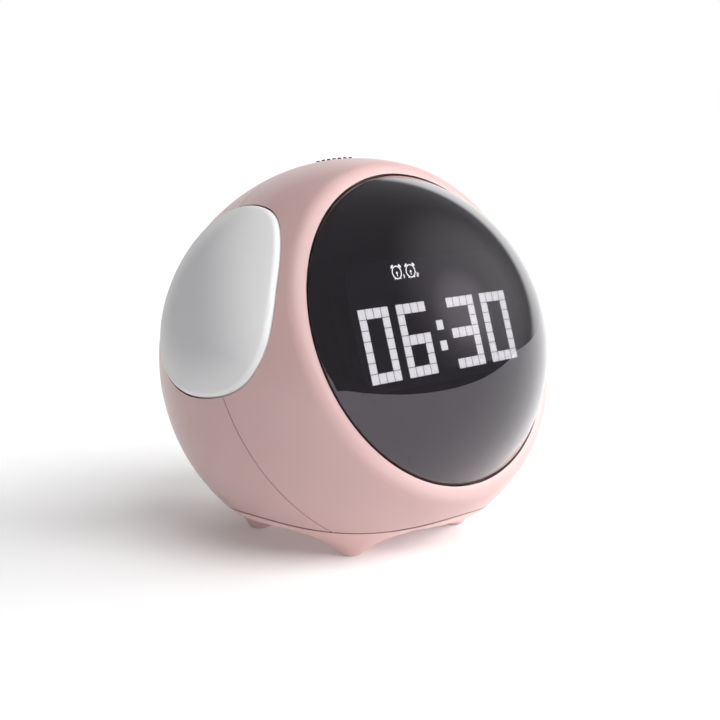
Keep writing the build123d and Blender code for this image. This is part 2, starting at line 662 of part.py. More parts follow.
def build_rear_shell():
    """Rear shell: flat back with key holes and port well, ear sockets, ribs and bosses."""
    shell = (FACE * rear_ring()) & (BACK * below(BACK_FLAT_Y))
    flat_edge = shell.faces().filter_by(GeomType.PLANE).sort_by(Axis.Y)[-1].outer_wire().edges()
    shell = fillet(flat_edge, BACK_EDGE_R)
    shell += BACK * back_panel()
    features = both_sides(EAR * ear_mount())
    features += BODY * base_posts(REAR_POST_ANGLES)
    features &= FACE * below(SPLIT_H - SPLIT_GAP)
    shell += features
    shell -= both_sides(EAR * ear_mount_cuts())
    shell -= BACK * back_panel_cuts()
    shell -= BODY * seam_prism(0, -BODY_R, POST_BOTTOM_Z)
    return shell - BODY * base_post_pilots(REAR_POST_ANGLES)


# ---------------------------------------------------------------- base
def foot_frame(side_x, side_y):
    """Frame of one foot: x runs outwards from the middle, z up, heights from the ball's centre."""
    angle = degrees(atan2(side_y * sin(radians(FOOT_ANGLE)), side_x * cos(radians(FOOT_ANGLE))))
    return BODY * Rot(0, 0, angle)


def foot_frames():
    """Frames of the four feet."""
    return [foot_frame(side_x, side_y) for side_x in (-1, 1) for side_y in (-1, 1)]


def foot():
    """One foot, a loft that flares from its round tip into the underside of the tray."""
    sections = [Pos(TIP_REACH, 0, TIP_Z) * Circle(FOOT_TIP_R)]
    for height, half_width, half_depth, inset in FOOT_SECTIONS:
        middle = SEAM_R - inset - half_depth
        sections.append(Pos(middle, 0, TIP_Z + height) * Ellipse(half_depth, half_width))
    return loft(sections)


def foot_cuts():
    """Pocket inside one foot and the seat of its pad."""
    pocket = turned_polygon(
        (0, TIP_Z + FOOT_POCKET_LIFT),
        (FOOT_POCKET_END_R, TIP_Z + FOOT_POCKET_LIFT),
        (FOOT_POCKET_R, TRAY_FLOOR_Z),
        (0, TRAY_FLOOR_Z),
    )
    return Pos(TIP_REACH, 0, 0) * (pocket + rod(PAD_R + PAD_CLEARANCE, TIP_Z, TIP_Z + PAD_SEAT))


def tray_dish():
    """Dish of the tray: the ball's surface closed by a flat bottom with a rounded edge."""
    edge_centre_z = TRAY_BOTTOM_Z + TRAY_EDGE_R
    edge_centre_r = on_sphere(BODY_R - TRAY_EDGE_R, edge_centre_z)[0]
    reach = BODY_R / (BODY_R - TRAY_EDGE_R)
    edge_top = (edge_centre_r * reach, edge_centre_z * reach)
    edge_bottom = (edge_centre_r, TRAY_BOTTOM_Z)
    rim = on_sphere(BODY_R, TRAY_LIP_Z)
    solid = turned(
        Line((0, TRAY_BOTTOM_Z), edge_bottom),
        arc((edge_centre_r, edge_centre_z), edge_bottom, edge_top),
        arc((0, 0), edge_top, rim),
        Polyline(rim, (0, TRAY_LIP_Z), (0, TRAY_BOTTOM_Z)),
    )
    return solid & seam_prism(SEAM_GAP, TRAY_BOTTOM_Z, TRAY_LIP_Z)


def seam_groove():
    """Ring cut into the outside of the tray's wall, which makes the seam a dark line."""
    around_tray = seam_prism(SEAM_GAP - FIT, TRAY_BOTTOM_Z, TRAY_LIP_Z)
    return around_tray - seam_prism(SEAM_GAP + SEAM_GROOVE, TRAY_BOTTOM_Z, TRAY_LIP_Z)


def build_base_tray():
    """Base tray: dish with a lip, four hollow feet, and columns for the base screws."""
    post_angles = FRONT_POST_ANGLES + REAR_POST_ANGLES
    outside = BODY * tray_dish()
    clip = BODY * seam_prism(SEAM_GAP, RESTING_Z, TRAY_FLOOR_Z)
    for frame in foot_frames():
        outside += frame * foot() & clip
    outside -= BODY * seam_prism(SEAM_GAP + TRAY_WALL, TRAY_FLOOR_Z, TRAY_LIP_Z)
    outside -= BODY * (seam_groove() & Sphere(BODY_R - SEAM_EDGE_T))
    outside += BODY * copies(rod(POST_R + RIB_T / 2, TRAY_FLOOR_Z, POST_SEAT_Z), around(POST_RING_R, post_angles))
    for frame in foot_frames():
        outside -= frame * foot_cuts()
    head_room = rod(SCREW_HEAD_R + FIT, TIP_Z, HEAD_SEAT_Z) + clearance_hole(HEAD_SEAT_Z, POST_SEAT_Z)
    outside -= BODY * copies(head_room, around(POST_RING_R, post_angles))
    cradle_pilot = pilot(CRADLE_FLOOR_Z - CRADLE_SCREW_LENGTH, TRAY_FLOOR_Z)
    return outside - BODY * copies(cradle_pilot, CRADLE_SCREW_PLACES)


def build_foot_pads():
    """Four soft pads, one seated in the tip of each foot."""
    pad = Pos(TIP_REACH, 0, 0) * rod(PAD_R, RESTING_Z, TIP_Z + PAD_SEAT)
    return Part() + [frame * pad for frame in foot_frames()]


def build_base_screws():
    """Four screws from below, through the tray into the posts of the shells."""
    fastener = raised_screw(HEAD_SEAT_Z, BASE_SCREW_LENGTH)
    return BODY * copies(fastener, around(POST_RING_R, FRONT_POST_ANGLES + REAR_POST_ANGLES))


# ---------------------------------------------------------------- display
def build_display_lens():
    """Domed lens with a rolled edge and a short straight skirt, about the face axis."""
    centre = (0, LENS_DOME_OFFSET)
    apex = (0, LENS_DOME_OFFSET + DOME_R)
    roll_centre = (LENS_ROLL_CENTRE_R, LENS_SKIRT_TOP_H)
    reach = DOME_R / LENS_ROLL_DISTANCE
    roll_start = (LENS_ROLL_CENTRE_R * reach, LENS_DOME_OFFSET + LENS_ROLL_RISE * reach)
    skirt_top = (LENS_R, LENS_SKIRT_TOP_H)
    skirt_bottom = (LENS_R, LENS_SKIRT_BOTTOM_H)
    inner_r = DOME_R - LENS_WALL
    inner_foot_r = on_sphere(inner_r, LENS_SKIRT_BOTTOM_H - LENS_DOME_OFFSET)[0]
    inner_foot = (inner_foot_r, LENS_SKIRT_BOTTOM_H)
    inner_apex = (0, LENS_DOME_OFFSET + inner_r)
    return FACE * turned(
        arc(centre, apex, roll_start),
        arc(roll_centre, roll_start, skirt_top),
        Polyline(skirt_top, skirt_bottom, inner_foot),
        arc(centre, inner_foot, inner_apex),
        Line(inner_apex, apex),
    )


def build_lens_gasket():
    """Flat ring between the lens and the bezel."""
    return FACE * tube(LENS_R, LENS_R - GASKET_W, BEZEL_TOP_H, LENS_SKIRT_BOTTOM_H)


def panel_block(grow, bottom, top):
    """Rounded block of the light panel's outline, in the panel's frame."""
    solid = rounded_block(PANEL_W + 2 * grow, PANEL_H + 2 * grow, PANEL_CORNER + grow, bottom, top)
    return Pos(0, PANEL_RISE, 0) * solid


def build_display_frame():
    """Bezel on the shoulder, with a collar and ledge that carry the light panel."""
    ledge_bottom = LED_BOARD_BOTTOM - LEDGE_T
    collar = PANEL * panel_block(FIT + COLLAR_WALL, ledge_bottom, -COLLAR_LOW)
    bezel = FACE * rod(BORE_R - FIT, SHOULDER_H, BEZEL_TOP_H) + collar
    bezel -= PANEL * panel_block(FIT, LED_BOARD_BOTTOM, BEZEL_T)
    bezel -= PANEL * panel_block(-LEDGE, ledge_bottom - BEZEL_T, LED_BOARD_BOTTOM)
    bezel -= both_sides(EAR * ear_prism(EAR_GAP, EAR_SKIRT_W - EAR_TRAVEL - FIT, BODY_R))
    holes = copies(clearance_hole(SHOULDER_H, BEZEL_TOP_H), around(BEZEL_SCREW_R, BEZEL_SCREW_ANGLES))
    return bezel - FACE * holes


def build_display_screws():
    """Four screws that hold the bezel to the shoulder."""
    return FACE * Pos(0, 0, BEZEL_TOP_H) * copies(screw(), around(BEZEL_SCREW_R, BEZEL_SCREW_ANGLES))


def build_light_grid():
    """Light grid: one window per cell of the dot matrix, and a window for the alarm icons."""
    grid = panel_block(0, LED_BOARD_TOP, -FILM_T)
    window = block(CELL_WINDOW, CELL_WINDOW, LED_BOARD_TOP, -FILM_T)
    places = [
        (
            (column - (CELL_COLUMNS - 1) / 2) * CELL_PITCH,
            (row - (CELL_ROWS - 1) / 2) * CELL_PITCH - DIGITS_DROP,
        )
        for column in range(CELL_COLUMNS)
        for row in range(CELL_ROWS)
    ]
    grid -= copies(window, places)
    icon_window = block(ICON_WINDOW_W, ICON_WINDOW_H, LED_BOARD_TOP, -FILM_T)
    return PANEL * (grid - Pos(ICON_X, ICON_RISE - DIGITS_DROP, 0) * icon_window)


def build_diffuser_film():
    """Thin film over the light grid."""
    return PANEL * panel_block(0, -FILM_T, 0)


def build_led_board():
    """Circuit board behind the light grid, with its connector."""
    board = panel_block(0, LED_BOARD_BOTTOM, LED_BOARD_TOP)
    plug = block(PANEL_PLUG_W, PANEL_PLUG_D, LED_BOARD_BOTTOM - PANEL_PLUG_H, LED_BOARD_BOTTOM)
    return PANEL * (board + Pos(0, PANEL_RISE, 0) * plug)


# ---------------------------------------------------------------- switches and keys
def switch_housing():
    """Push switch without its plunger, standing on z=0."""
    return block(SWITCH_SIZE, SWITCH_SIZE, 0, SWITCH_H) - rod(PLUNGER_R + FIT, SWITCH_FLOOR, SWITCH_H)


def switch_plunger():
    """Plunger of a push switch that stands on z=0."""
    return rod(PLUNGER_R, SWITCH_H - PLUNGER_IN, SWITCH_H + PLUNGER_OUT)


def build_key():
    """One key at the middle of the row: cap, flange and stem, in the back's frame."""
    cap_top = BACK_FLAT_Y + KEY_PROUD
    cap = rod(KEY_R, KEY_FLANGE_TOP_Y, cap_top)
    cap = chamfer(cap.edges().sort_by(Axis.Z)[-1], KEY_EDGE)
    flange = rod(KEY_FLANGE_R, KEY_FLANGE_TOP_Y - KEY_FLANGE_T, KEY_FLANGE_TOP_Y)
    return cap + flange + rod(ACTUATOR_R, KEY_STEM_END_Y, KEY_FLANGE_TOP_Y - KEY_FLANGE_T)


def build_key_board():
    """Circuit board under the keys."""
    bottom = KEY_BOARD_TOP_Y - KEY_BOARD_T
    board = Pos(0, KEY_BOARD_UP, 0) * rounded_block(KEY_BOARD_W, KEY_BOARD_H, PORT_WALL, bottom, KEY_BOARD_TOP_Y)
    return BACK * (board - copies(clearance_hole(bottom, KEY_BOARD_TOP_Y), KEY_POSTS))


def build_key_switches():
    """The four push switches on the key board."""
    return BACK * Pos(0, 0, KEY_BOARD_TOP_Y) * copies(switch_housing(), key_places())


def build_key_board_screws():
    """Screws from inside, through the key board into its posts."""
    return BACK * copies(raised_screw(KEY_BOARD_TOP_Y - KEY_BOARD_T), KEY_POSTS)


# ---------------------------------------------------------------- ears
def build_ear():
    """Ear: a shallow cap with a rolled edge, three guide pins and the switch actuator."""
    cap = ear_prism(0, EAR_SKIRT_W, BODY_R + WALL) & Sphere(EAR_OUTER_R)
    cap = fillet(cap.faces().filter_by(GeomType.SPHERE).edges(), EAR_EDGE_R)
    cap -= ear_prism(-EAR_WALL, EAR_SKIRT_W, BODY_R) & Sphere(EAR_OUTER_R - EAR_WALL)
    pins = copies(rod(GUIDE_PIN_R, PIN_END_W, BODY_R), around(GUIDE_R, GUIDE_ANGLES))
    actuator = rod(ACTUATOR_R, ACTUATOR_W, BODY_R)
    cap += (pins + actuator) & Sphere(EAR_OUTER_R - EAR_WALL / 2)
    pin_pilot = pilot(PIN_END_W, PIN_END_W + SCREW_LENGTH + FIT, GUIDE_SCREW_R)
    return cap - copies(pin_pilot, around(GUIDE_R, GUIDE_ANGLES))


def build_guide_screws():
    """Washer-head screws in the ends of the guide pins, which keep the ear in."""
    fastener = raised_screw(PIN_END_W, SCREW_LENGTH, GUIDE_SCREW_R, GUIDE_SCREW_HEAD_R)
    return copies(fastener, around(GUIDE_R, GUIDE_ANGLES))


def build_ear_seat():
    """Seat plate behind the ear: guide sleeves, board stakes and four screw tabs."""
    bottom = SEAT_W - SEAT_T
    plate = rod(SEAT_R, bottom, SEAT_W)
    tab = rod(SEAT_TAB_W / 2, bottom, SEAT_W)
    tab += Pos(-SEAT_SCREW_R / 4, 0, 0) * block(SEAT_SCREW_R / 2, SEAT_TAB_W, bottom, SEAT_W)
    for angle in SEAT_SCREW_ANGLES:
        plate += Rot(0, 0, angle) * Pos(SEAT_SCREW_R, 0, 0) * tab
    sleeve_top = SEAT_W + GUIDE_SLEEVE_H
    sleeve = rod(SLEEVE_BORE_R + GUIDE_SLEEVE_WALL, SEAT_W, sleeve_top)
    plate += copies(sleeve, around(GUIDE_R, GUIDE_ANGLES))
    stake = rod(2 * STAKE_R, SEAT_W, LIGHT_BOARD_W) + rod(STAKE_R, LIGHT_BOARD_W, EAR_SWITCH_W + LED_H / 2)
    plate += copies(stake, around(STAKE_RING_R, STAKE_ANGLES))
    plate -= rod(SEAT_HOLE_R, bottom, SEAT_W)
    plate -= copies(rod(SLEEVE_BORE_R, bottom, sleeve_top), around(GUIDE_R, GUIDE_ANGLES))
    return plate - copies(clearance_hole(bottom, SEAT_W), around(SEAT_SCREW_R, SEAT_SCREW_ANGLES))


def build_seat_screws():
    """Four screws that hold the seat plate to its bosses."""
    return copies(raised_screw(SEAT_W - SEAT_T), around(SEAT_SCREW_R, SEAT_SCREW_ANGLES))


def build_light_board():
    """Round circuit board of the night light."""
    board = rod(LIGHT_BOARD_R, LIGHT_BOARD_W, EAR_SWITCH_W)
    stake_hole = rod(STAKE_R + PAD_CLEARANCE, LIGHT_BOARD_W, EAR_SWITCH_W)
    return board - copies(stake_hole, around(STAKE_RING_R, STAKE_ANGLES))


def build_ear_leds():
    """Ring of LEDs round the switch."""
    led = block(LED_SIZE, LED_SIZE, EAR_SWITCH_W, EAR_SWITCH_W + LED_H)
    return copies(led, around(LED_RING_R, [index * 360 / LED_COUNT for index in range(LED_COUNT)]))


# ---------------------------------------------------------------- boards, battery and speaker
def build_main_board():
    """Main circuit board over the battery, rounded to the ball at the back."""
    depth = MAIN_BOARD_BACK_Y - MAIN_BOARD_FRONT_Y
    middle = (MAIN_BOARD_BACK_Y + MAIN_BOARD_FRONT_Y) / 2
    board = Pos(0, middle, 0) * block(MAIN_BOARD_W, depth, MAIN_BOARD_Z, MAIN_BOARD_TOP_Z)
    board &= rod(INNER_R - MAIN_BOARD_MARGIN, MAIN_BOARD_Z, MAIN_BOARD_TOP_Z)
    return BODY * (board - copies(clearance_hole(MAIN_BOARD_Z, MAIN_BOARD_TOP_Z), cradle_post_places()))


def build_main_board_chips():
    """Processor, memory, charging chip, coil and plugs on the main board."""
    chips = Part()
    for x, y, width, depth, height in CHIPS:
        chips += Pos(x, y, 0) * block(width, depth, MAIN_BOARD_TOP_Z, MAIN_BOARD_TOP_Z + height)
    for x, y, width, depth in (DISPLAY_PLUG, KEY_PLUG, SPEAKER_PLUG):
        chips += Pos(x, y, 0) * block(width, depth, MAIN_BOARD_TOP_Z, PLUG_TOP_Z)
    for x, y, width, depth in (CELL_PLUG, EAR_PLUG):
        chips += copies(block(width, depth, MAIN_BOARD_TOP_Z, PLUG_TOP_Z), [(-x, y), (x, y)])
    return BODY * chips


def build_usb_socket():
    """Charging socket: a flat round-ended metal sleeve with its contact tongue."""
    back_y = USB_MOUTH_Y - USB_LENGTH
    sleeve = extrude(Plane.XY.offset(back_y) * SlotOverall(USB_W, USB_H), USB_LENGTH)
    hollow = SlotOverall(USB_W - 2 * USB_WALL, USB_H - 2 * USB_WALL)
    sleeve -= extrude(Plane.XY.offset(back_y + PORT_FLOOR) * hollow, USB_LENGTH)
    tongue = block(USB_TONGUE_W, USB_TONGUE_T, back_y + PORT_FLOOR, USB_MOUTH_Y - PORT_FLOOR)
    return PORT * (sleeve + tongue)


def cradle_post_places():
    """Places of the four posts that carry the main board, in the ball's frame."""
    return [
        (side * CRADLE_WALL_X, CELL_Y + end * CRADLE_POST_Y)
        for side in (-1, 1)
        for end in (-1, 1)
    ]


def build_main_board_screws():
    """Four screws that hold the main board to the cradle's posts."""
    return BODY * Pos(0, 0, MAIN_BOARD_TOP_Z) * copies(screw(), cradle_post_places())


def build_battery_cradle():
    """Cradle on the tray: floor, two saddle walls, and posts under the main board."""
    width = 2 * CRADLE_WALL_X + CRADLE_WALL_T
    cradle = Pos(0, CELL_Y, 0) * block(width, CRADLE_DEPTH, TRAY_FLOOR_Z, CRADLE_FLOOR_Z)
    saddle = block(CRADLE_WALL_T, 2 * CRADLE_POST_Y, TRAY_FLOOR_Z, TRAY_FLOOR_Z + CRADLE_SADDLE_H)
    cradle += copies(saddle, [(side * CRADLE_WALL_X, CELL_Y) for side in (-1, 1)])
    cradle -= cell_rod(CELL_R + CRADLE_CLEARANCE, width)
    cradle += copies(rod(CRADLE_POST_R, TRAY_FLOOR_Z, MAIN_BOARD_Z), cradle_post_places())
    pilot_bottom = MAIN_BOARD_TOP_Z - SCREW_LENGTH - FIT
    cradle -= copies(pilot(pilot_bottom, MAIN_BOARD_Z), cradle_post_places())
    cradle -= copies(clearance_hole(TRAY_FLOOR_Z, CRADLE_FLOOR_Z), CRADLE_SCREW_PLACES)
    return BODY * cradle


def cell_rod(radius, length):
    """Cylinder along the battery's axis, in the ball's frame."""
    return Pos(0, CELL_Y, CELL_Z) * Rot(0, 90, 0) * Cylinder(radius, length)


def build_battery_cell():
    """Rechargeable cell with its raised contact."""
    cap = Pos((CELL_LENGTH + CELL_CAP_H) / 2, 0, 0) * cell_rod(CELL_CAP_R, CELL_CAP_H)
    return BODY * (cell_rod(CELL_R, CELL_LENGTH) + cap)


def build_cradle_screws():
    """Two screws that hold the cradle to the tray's floor."""
    fastener = screw(CRADLE_SCREW_LENGTH - FIT)
    return BODY * Pos(0, 0, CRADLE_FLOOR_Z) * copies(fastener, CRADLE_SCREW_PLACES)


def build_speaker_frame():
    """Basket of the speaker: flange, slanted side and floor, in the speaker's frame."""
    flange_bottom = SPEAKER_TOP_W - SPEAKER_FLANGE_T
    floor_top = SPEAKER_FLOOR_W + SPEAKER_FLANGE_T
    basket_r = MAGNET_R + SPEAKER_RING_WALL
    return SPEAKER * turned_polygon(
        (0, SPEAKER_FLOOR_W),
        (basket_r, SPEAKER_FLOOR_W),
        (CONE_R + SPEAKER_FLANGE_T, flange_bottom),
        (SPEAKER_R, flange_bottom),
        (SPEAKER_R, SPEAKER_TOP_W),
        (CONE_R, SPEAKER_TOP_W),
        (basket_r - SPEAKER_FLANGE_T, floor_top),
        (0, floor_top),
    )


def build_speaker_cone():
    """Paper cone with its dust cap, in the speaker's frame."""
    neck_r = MAGNET_R / 2
    neck_w = SPEAKER_FLOOR_W + 2 * SPEAKER_FLANGE_T
    cap_h = 2 * CONE_T
    cap_r = (neck_r**2 + cap_h**2) / (2 * cap_h)
    cap_edge = (neck_r, neck_w + CONE_T)
    cap_top = (0, neck_w + CONE_T + cap_h)
    sheet = Polyline(
        cap_top,
        (0, neck_w),
        (neck_r, neck_w),
        (CONE_R - CONE_T, SPEAKER_TOP_W),
        (CONE_R + CONE_T, SPEAKER_TOP_W),
        (CONE_R + CONE_T, SPEAKER_TOP_W + CONE_T),
        (CONE_R - CONE_T, SPEAKER_TOP_W + CONE_T),
        cap_edge,
    )
    return SPEAKER * turned(sheet, arc((0, cap_top[1] - cap_r), cap_edge, cap_top))


def build_speaker_gasket():
    """Soft ring between the speaker and the wall, shaped to the inside of the ball."""
    ring = tube(SPEAKER_R, CONE_R + 2 * CONE_T, SPEAKER_TOP_W, INNER_R)
    return SPEAKER * (ring & Sphere(INNER_R - PAD_CLEARANCE))


def build_speaker_mesh():
    """Soft mesh behind the sound holes, with a nub up through each of them."""
    mesh = rod(MESH_R, SPEAKER_TOP_W, BODY_R) & Sphere(INNER_R - PAD_CLEARANCE)
    mesh -= Sphere(INNER_R - PAD_CLEARANCE - MESH_T)
    nub_top = BODY_R + MESH_PROUD
    nubs = copies(rod(HOLE_R - MESH_FIT, INNER_R - MESH_T, nub_top), hole_places()) & Sphere(nub_top)
    return SPEAKER * (mesh + nubs)


def build_speaker_magnet():
    """Magnet under the basket, in the speaker's frame."""
    return SPEAKER * rod(MAGNET_R, SPEAKER_FLOOR_W - MAGNET_H, SPEAKER_FLOOR_W)


def build_speaker_bracket():
    """Clamp that holds the speaker up: a ring round the magnet with two arms."""
    bottom = SPEAKER_FLOOR_W - BRACKET_T
    arms = block(2 * SPEAKER_SCREW_X, BRACKET_ARM_W, bottom, SPEAKER_FLOOR_W)
    arms += copies(rod(BRACKET_ARM_W / 2, bottom, SPEAKER_FLOOR_W), [(-SPEAKER_SCREW_X, 0), (SPEAKER_SCREW_X, 0)])
    bracket = Pos(0, -SPEAKER_SCREW_FORWARD, 0) * arms + rod(BRACKET_RING_R, bottom, SPEAKER_FLOOR_W)
    bracket -= rod(MAGNET_R + FIT, bottom, SPEAKER_FLOOR_W)
    return SPEAKER * (bracket - copies(clearance_hole(bottom, SPEAKER_FLOOR_W), speaker_screw_places()))


def build_speaker_screws():
    """Two screws that hold the bracket to its bosses."""
    return SPEAKER * copies(raised_screw(SPEAKER_FLOOR_W - BRACKET_T), speaker_screw_places())


# ---------------------------------------------------------------- leads
def place(frame, x, y, z):
    """Point of a frame as a point of the clock."""
    return frame.from_local_coords(Vector(x, y, z))


def over_plug(plug, run):
    """Point this far over the top of a plug on the main board."""
    return place(BODY, plug[0], plug[1], PLUG_TOP_Z + run)


def lead(*points):
    """Round insulated wire with rounded corners."""
    path = FilletPolyline(*points, radius=LEAD_BEND)
    return sweep(Plane(origin=path @ 0, z_dir=path % 0) * Circle(LEAD_R), path=path)


def ribbon(width, *points):
    """Flat ribbon that runs from front to back, with rounded corners."""
    path = FilletPolyline(*points, radius=LEAD_BEND)
    section = Plane(origin=path @ 0, x_dir=(1, 0, 0), z_dir=path % 0) * Rectangle(width, RIBBON_T)
    return sweep(section, path=path)


def build_display_ribbon():
    """Ribbon from the LED board down to the main board."""
    plug_bottom = LED_BOARD_BOTTOM - PANEL_PLUG_H
    return ribbon(
        PANEL_RIBBON_W,
        place(PANEL, 0, PANEL_RISE, plug_bottom),
        place(PANEL, 0, PANEL_RISE, plug_bottom - PANEL_RIBBON_REACH),
        over_plug(DISPLAY_PLUG, PLUG_RUN),
        over_plug(DISPLAY_PLUG, 0),
    )


def build_key_ribbon():
    """Ribbon from the key board to the main board."""
    board_y = KEY_BOARD_TOP_Y - KEY_BOARD_T
    return ribbon(
        KEY_RIBBON_W,
        place(BODY, KEY_PLUG[0], board_y, KEY_RIBBON_Z),
        place(BODY, KEY_PLUG[0], board_y - KEY_RIBBON_REACH, KEY_RIBBON_Z),
        over_plug(KEY_PLUG, KEY_RIBBON_REACH),
        over_plug(KEY_PLUG, 0),
    )


def build_speaker_lead():
    """Lead from the speaker's basket to the main board."""
    side_w = SPEAKER_FLOOR_W + SPEAKER_H / 3
    return lead(
        place(SPEAKER, 0, CONE_R, side_w),
        place(SPEAKER, 0, SPEAKER_R + SPEAKER_RING_WALL, side_w),
        over_plug(SPEAKER_PLUG, PLUG_RUN),
        over_plug(SPEAKER_PLUG, 0),
    )


def build_battery_leads():
    """One lead from each end of the cell up and over the edge of the main board."""
    x, y, width, depth = CELL_PLUG
    half = CELL_LENGTH / 2
    outer = half + CELL_CAP_H + LEAD_REACH
    plug_z = (MAIN_BOARD_TOP_Z + PLUG_TOP_Z) / 2
    leads = Part()
    for side, end in ((-1, half), (1, half + CELL_CAP_H)):
        leads += lead(
            place(BODY, side * end, CELL_Y, CELL_Z),
            place(BODY, side * outer, CELL_Y, CELL_Z),
            place(BODY, side * outer, y, plug_z),
            place(BODY, side * (x + width / 2), y, plug_z),
        )
    return leads


def build_ear_lead():
    """Lead from the left light board through the seat's hole to the main board."""
    x, y, width, depth = EAR_PLUG
    return lead(
        place(EAR, 0, 0, LIGHT_BOARD_W),
        place(EAR, 0, 0, LIGHT_BOARD_W - EAR_LEAD_REACH),
        place(BODY, -x, y, PLUG_TOP_Z + PLUG_RUN),
        place(BODY, -x, y, PLUG_TOP_Z),
    )


# ---------------------------------------------------------------- assembly
def ear_pieces():
    """Every piece of the left ear's assembly by name."""
    shoulder_back_h = SHOULDER_H - SHOULDER_T
    return {
        "ear": EAR * build_ear(),
        "ear_guide_screws": EAR * build_guide_screws(),
        "ear_plunger": EAR * Pos(0, 0, EAR_SWITCH_W) * switch_plunger(),
        "ear_seat": EAR * build_ear_seat() - FACE * above(shoulder_back_h - FIT),
        "ear_seat_screws": EAR * build_seat_screws(),
        "ear_light_board": EAR * build_light_board(),
        "ear_leds": EAR * build_ear_leds(),
        "ear_switch": EAR * Pos(0, 0, EAR_SWITCH_W) * switch_housing(),
        "ear_lead": build_ear_lead(),
    }


def build_pieces():
    """Every piece of the clock by node name."""
    pieces = {
        "front_shell": build_front_shell(),
        "rear_shell": build_rear_shell(),
        "base_tray": build_base_tray(),
        "foot_pads": build_foot_pads(),
        "base_screws": build_base_screws(),
        "display_lens": build_display_lens(),
        "lens_gasket": build_lens_gasket(),
        "display_frame": build_display_frame(),
        "display_screws": build_display_screws(),
        "light_grid": build_light_grid(),
        "diffuser_film": build_diffuser_film(),
        "led_board": build_led_board(),
        "key_board": build_key_board(),
        "key_switches": build_key_switches(),
        "key_board_screws": build_key_board_screws(),
        "main_board": build_main_board(),
        "main_board_chips": build_main_board_chips(),
        "main_board_screws": build_main_board_screws(),
        "usb_socket": build_usb_socket(),
        "battery_cradle": build_battery_cradle(),
        "battery_cell": build_battery_cell(),
        "cradle_screws": build_cradle_screws(),
        "speaker_frame": build_speaker_frame(),
        "speaker_cone": build_speaker_cone(),
        "speaker_gasket": build_speaker_gasket(),
        "speaker_mesh": build_speaker_mesh(),
        "speaker_magnet": build_speaker_magnet(),
        "speaker_bracket": build_speaker_bracket(),
        "speaker_screws": build_speaker_screws(),
        "display_ribbon": build_display_ribbon(),
        "key_ribbon": build_key_ribbon(),
        "speaker_lead": build_speaker_lead(),
        "battery_leads": build_battery_leads(),
    }
    for name, solid in ear_pieces().items():
        pieces["left_" + name] = solid
        pieces["right_" + name] = mirrored(solid)
    for name, (x, y) in zip(KEY_NAMES, key_places()):
        pieces[name] = BACK * Pos(x, y, 0) * build_key()
        pieces[name + "_plunger"] = BACK * Pos(x, y, KEY_BOARD_TOP_Y) * switch_plunger()
    return pieces


os.makedirs("parts", exist_ok=True)
for node, piece in build_pieces().items():
    export_step(piece, "parts/" + node + ".step")
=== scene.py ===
"""Looks of a ball-shaped children's alarm clock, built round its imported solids."""

import logging
from dataclasses import dataclass
from enum import Enum
from math import cos, pi, radians, sin
from typing import Callable, Optional, Sequence, Union

import bmesh
import bpy
from mathutils import Matrix, Vector


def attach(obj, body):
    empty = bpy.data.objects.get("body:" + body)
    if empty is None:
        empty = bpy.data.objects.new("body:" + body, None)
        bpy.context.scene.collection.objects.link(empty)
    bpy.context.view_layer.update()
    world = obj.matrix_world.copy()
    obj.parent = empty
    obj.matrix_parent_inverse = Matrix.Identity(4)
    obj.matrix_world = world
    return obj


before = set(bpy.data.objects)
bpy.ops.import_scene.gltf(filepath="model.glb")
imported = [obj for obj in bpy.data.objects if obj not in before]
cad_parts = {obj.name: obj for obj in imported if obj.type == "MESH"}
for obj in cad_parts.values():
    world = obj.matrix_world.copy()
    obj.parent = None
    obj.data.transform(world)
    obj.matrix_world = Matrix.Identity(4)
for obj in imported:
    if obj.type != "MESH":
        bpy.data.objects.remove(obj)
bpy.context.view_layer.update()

log = logging.getLogger("clock")

Colour = tuple[float, float, float]
Point = tuple[float, float]
MM = 0.001
BALL_CENTRE = Vector((0.0, 0.8 * MM, 46.1 * MM))
WHITE = (1.0, 1.0, 1.0, 1.0)
# Sockets of a Mix node for each kind of value: its two ends and its output.
MIX_SOCKETS = {"VECTOR": (4, 5, 1), "RGBA": (6, 7, 2)}


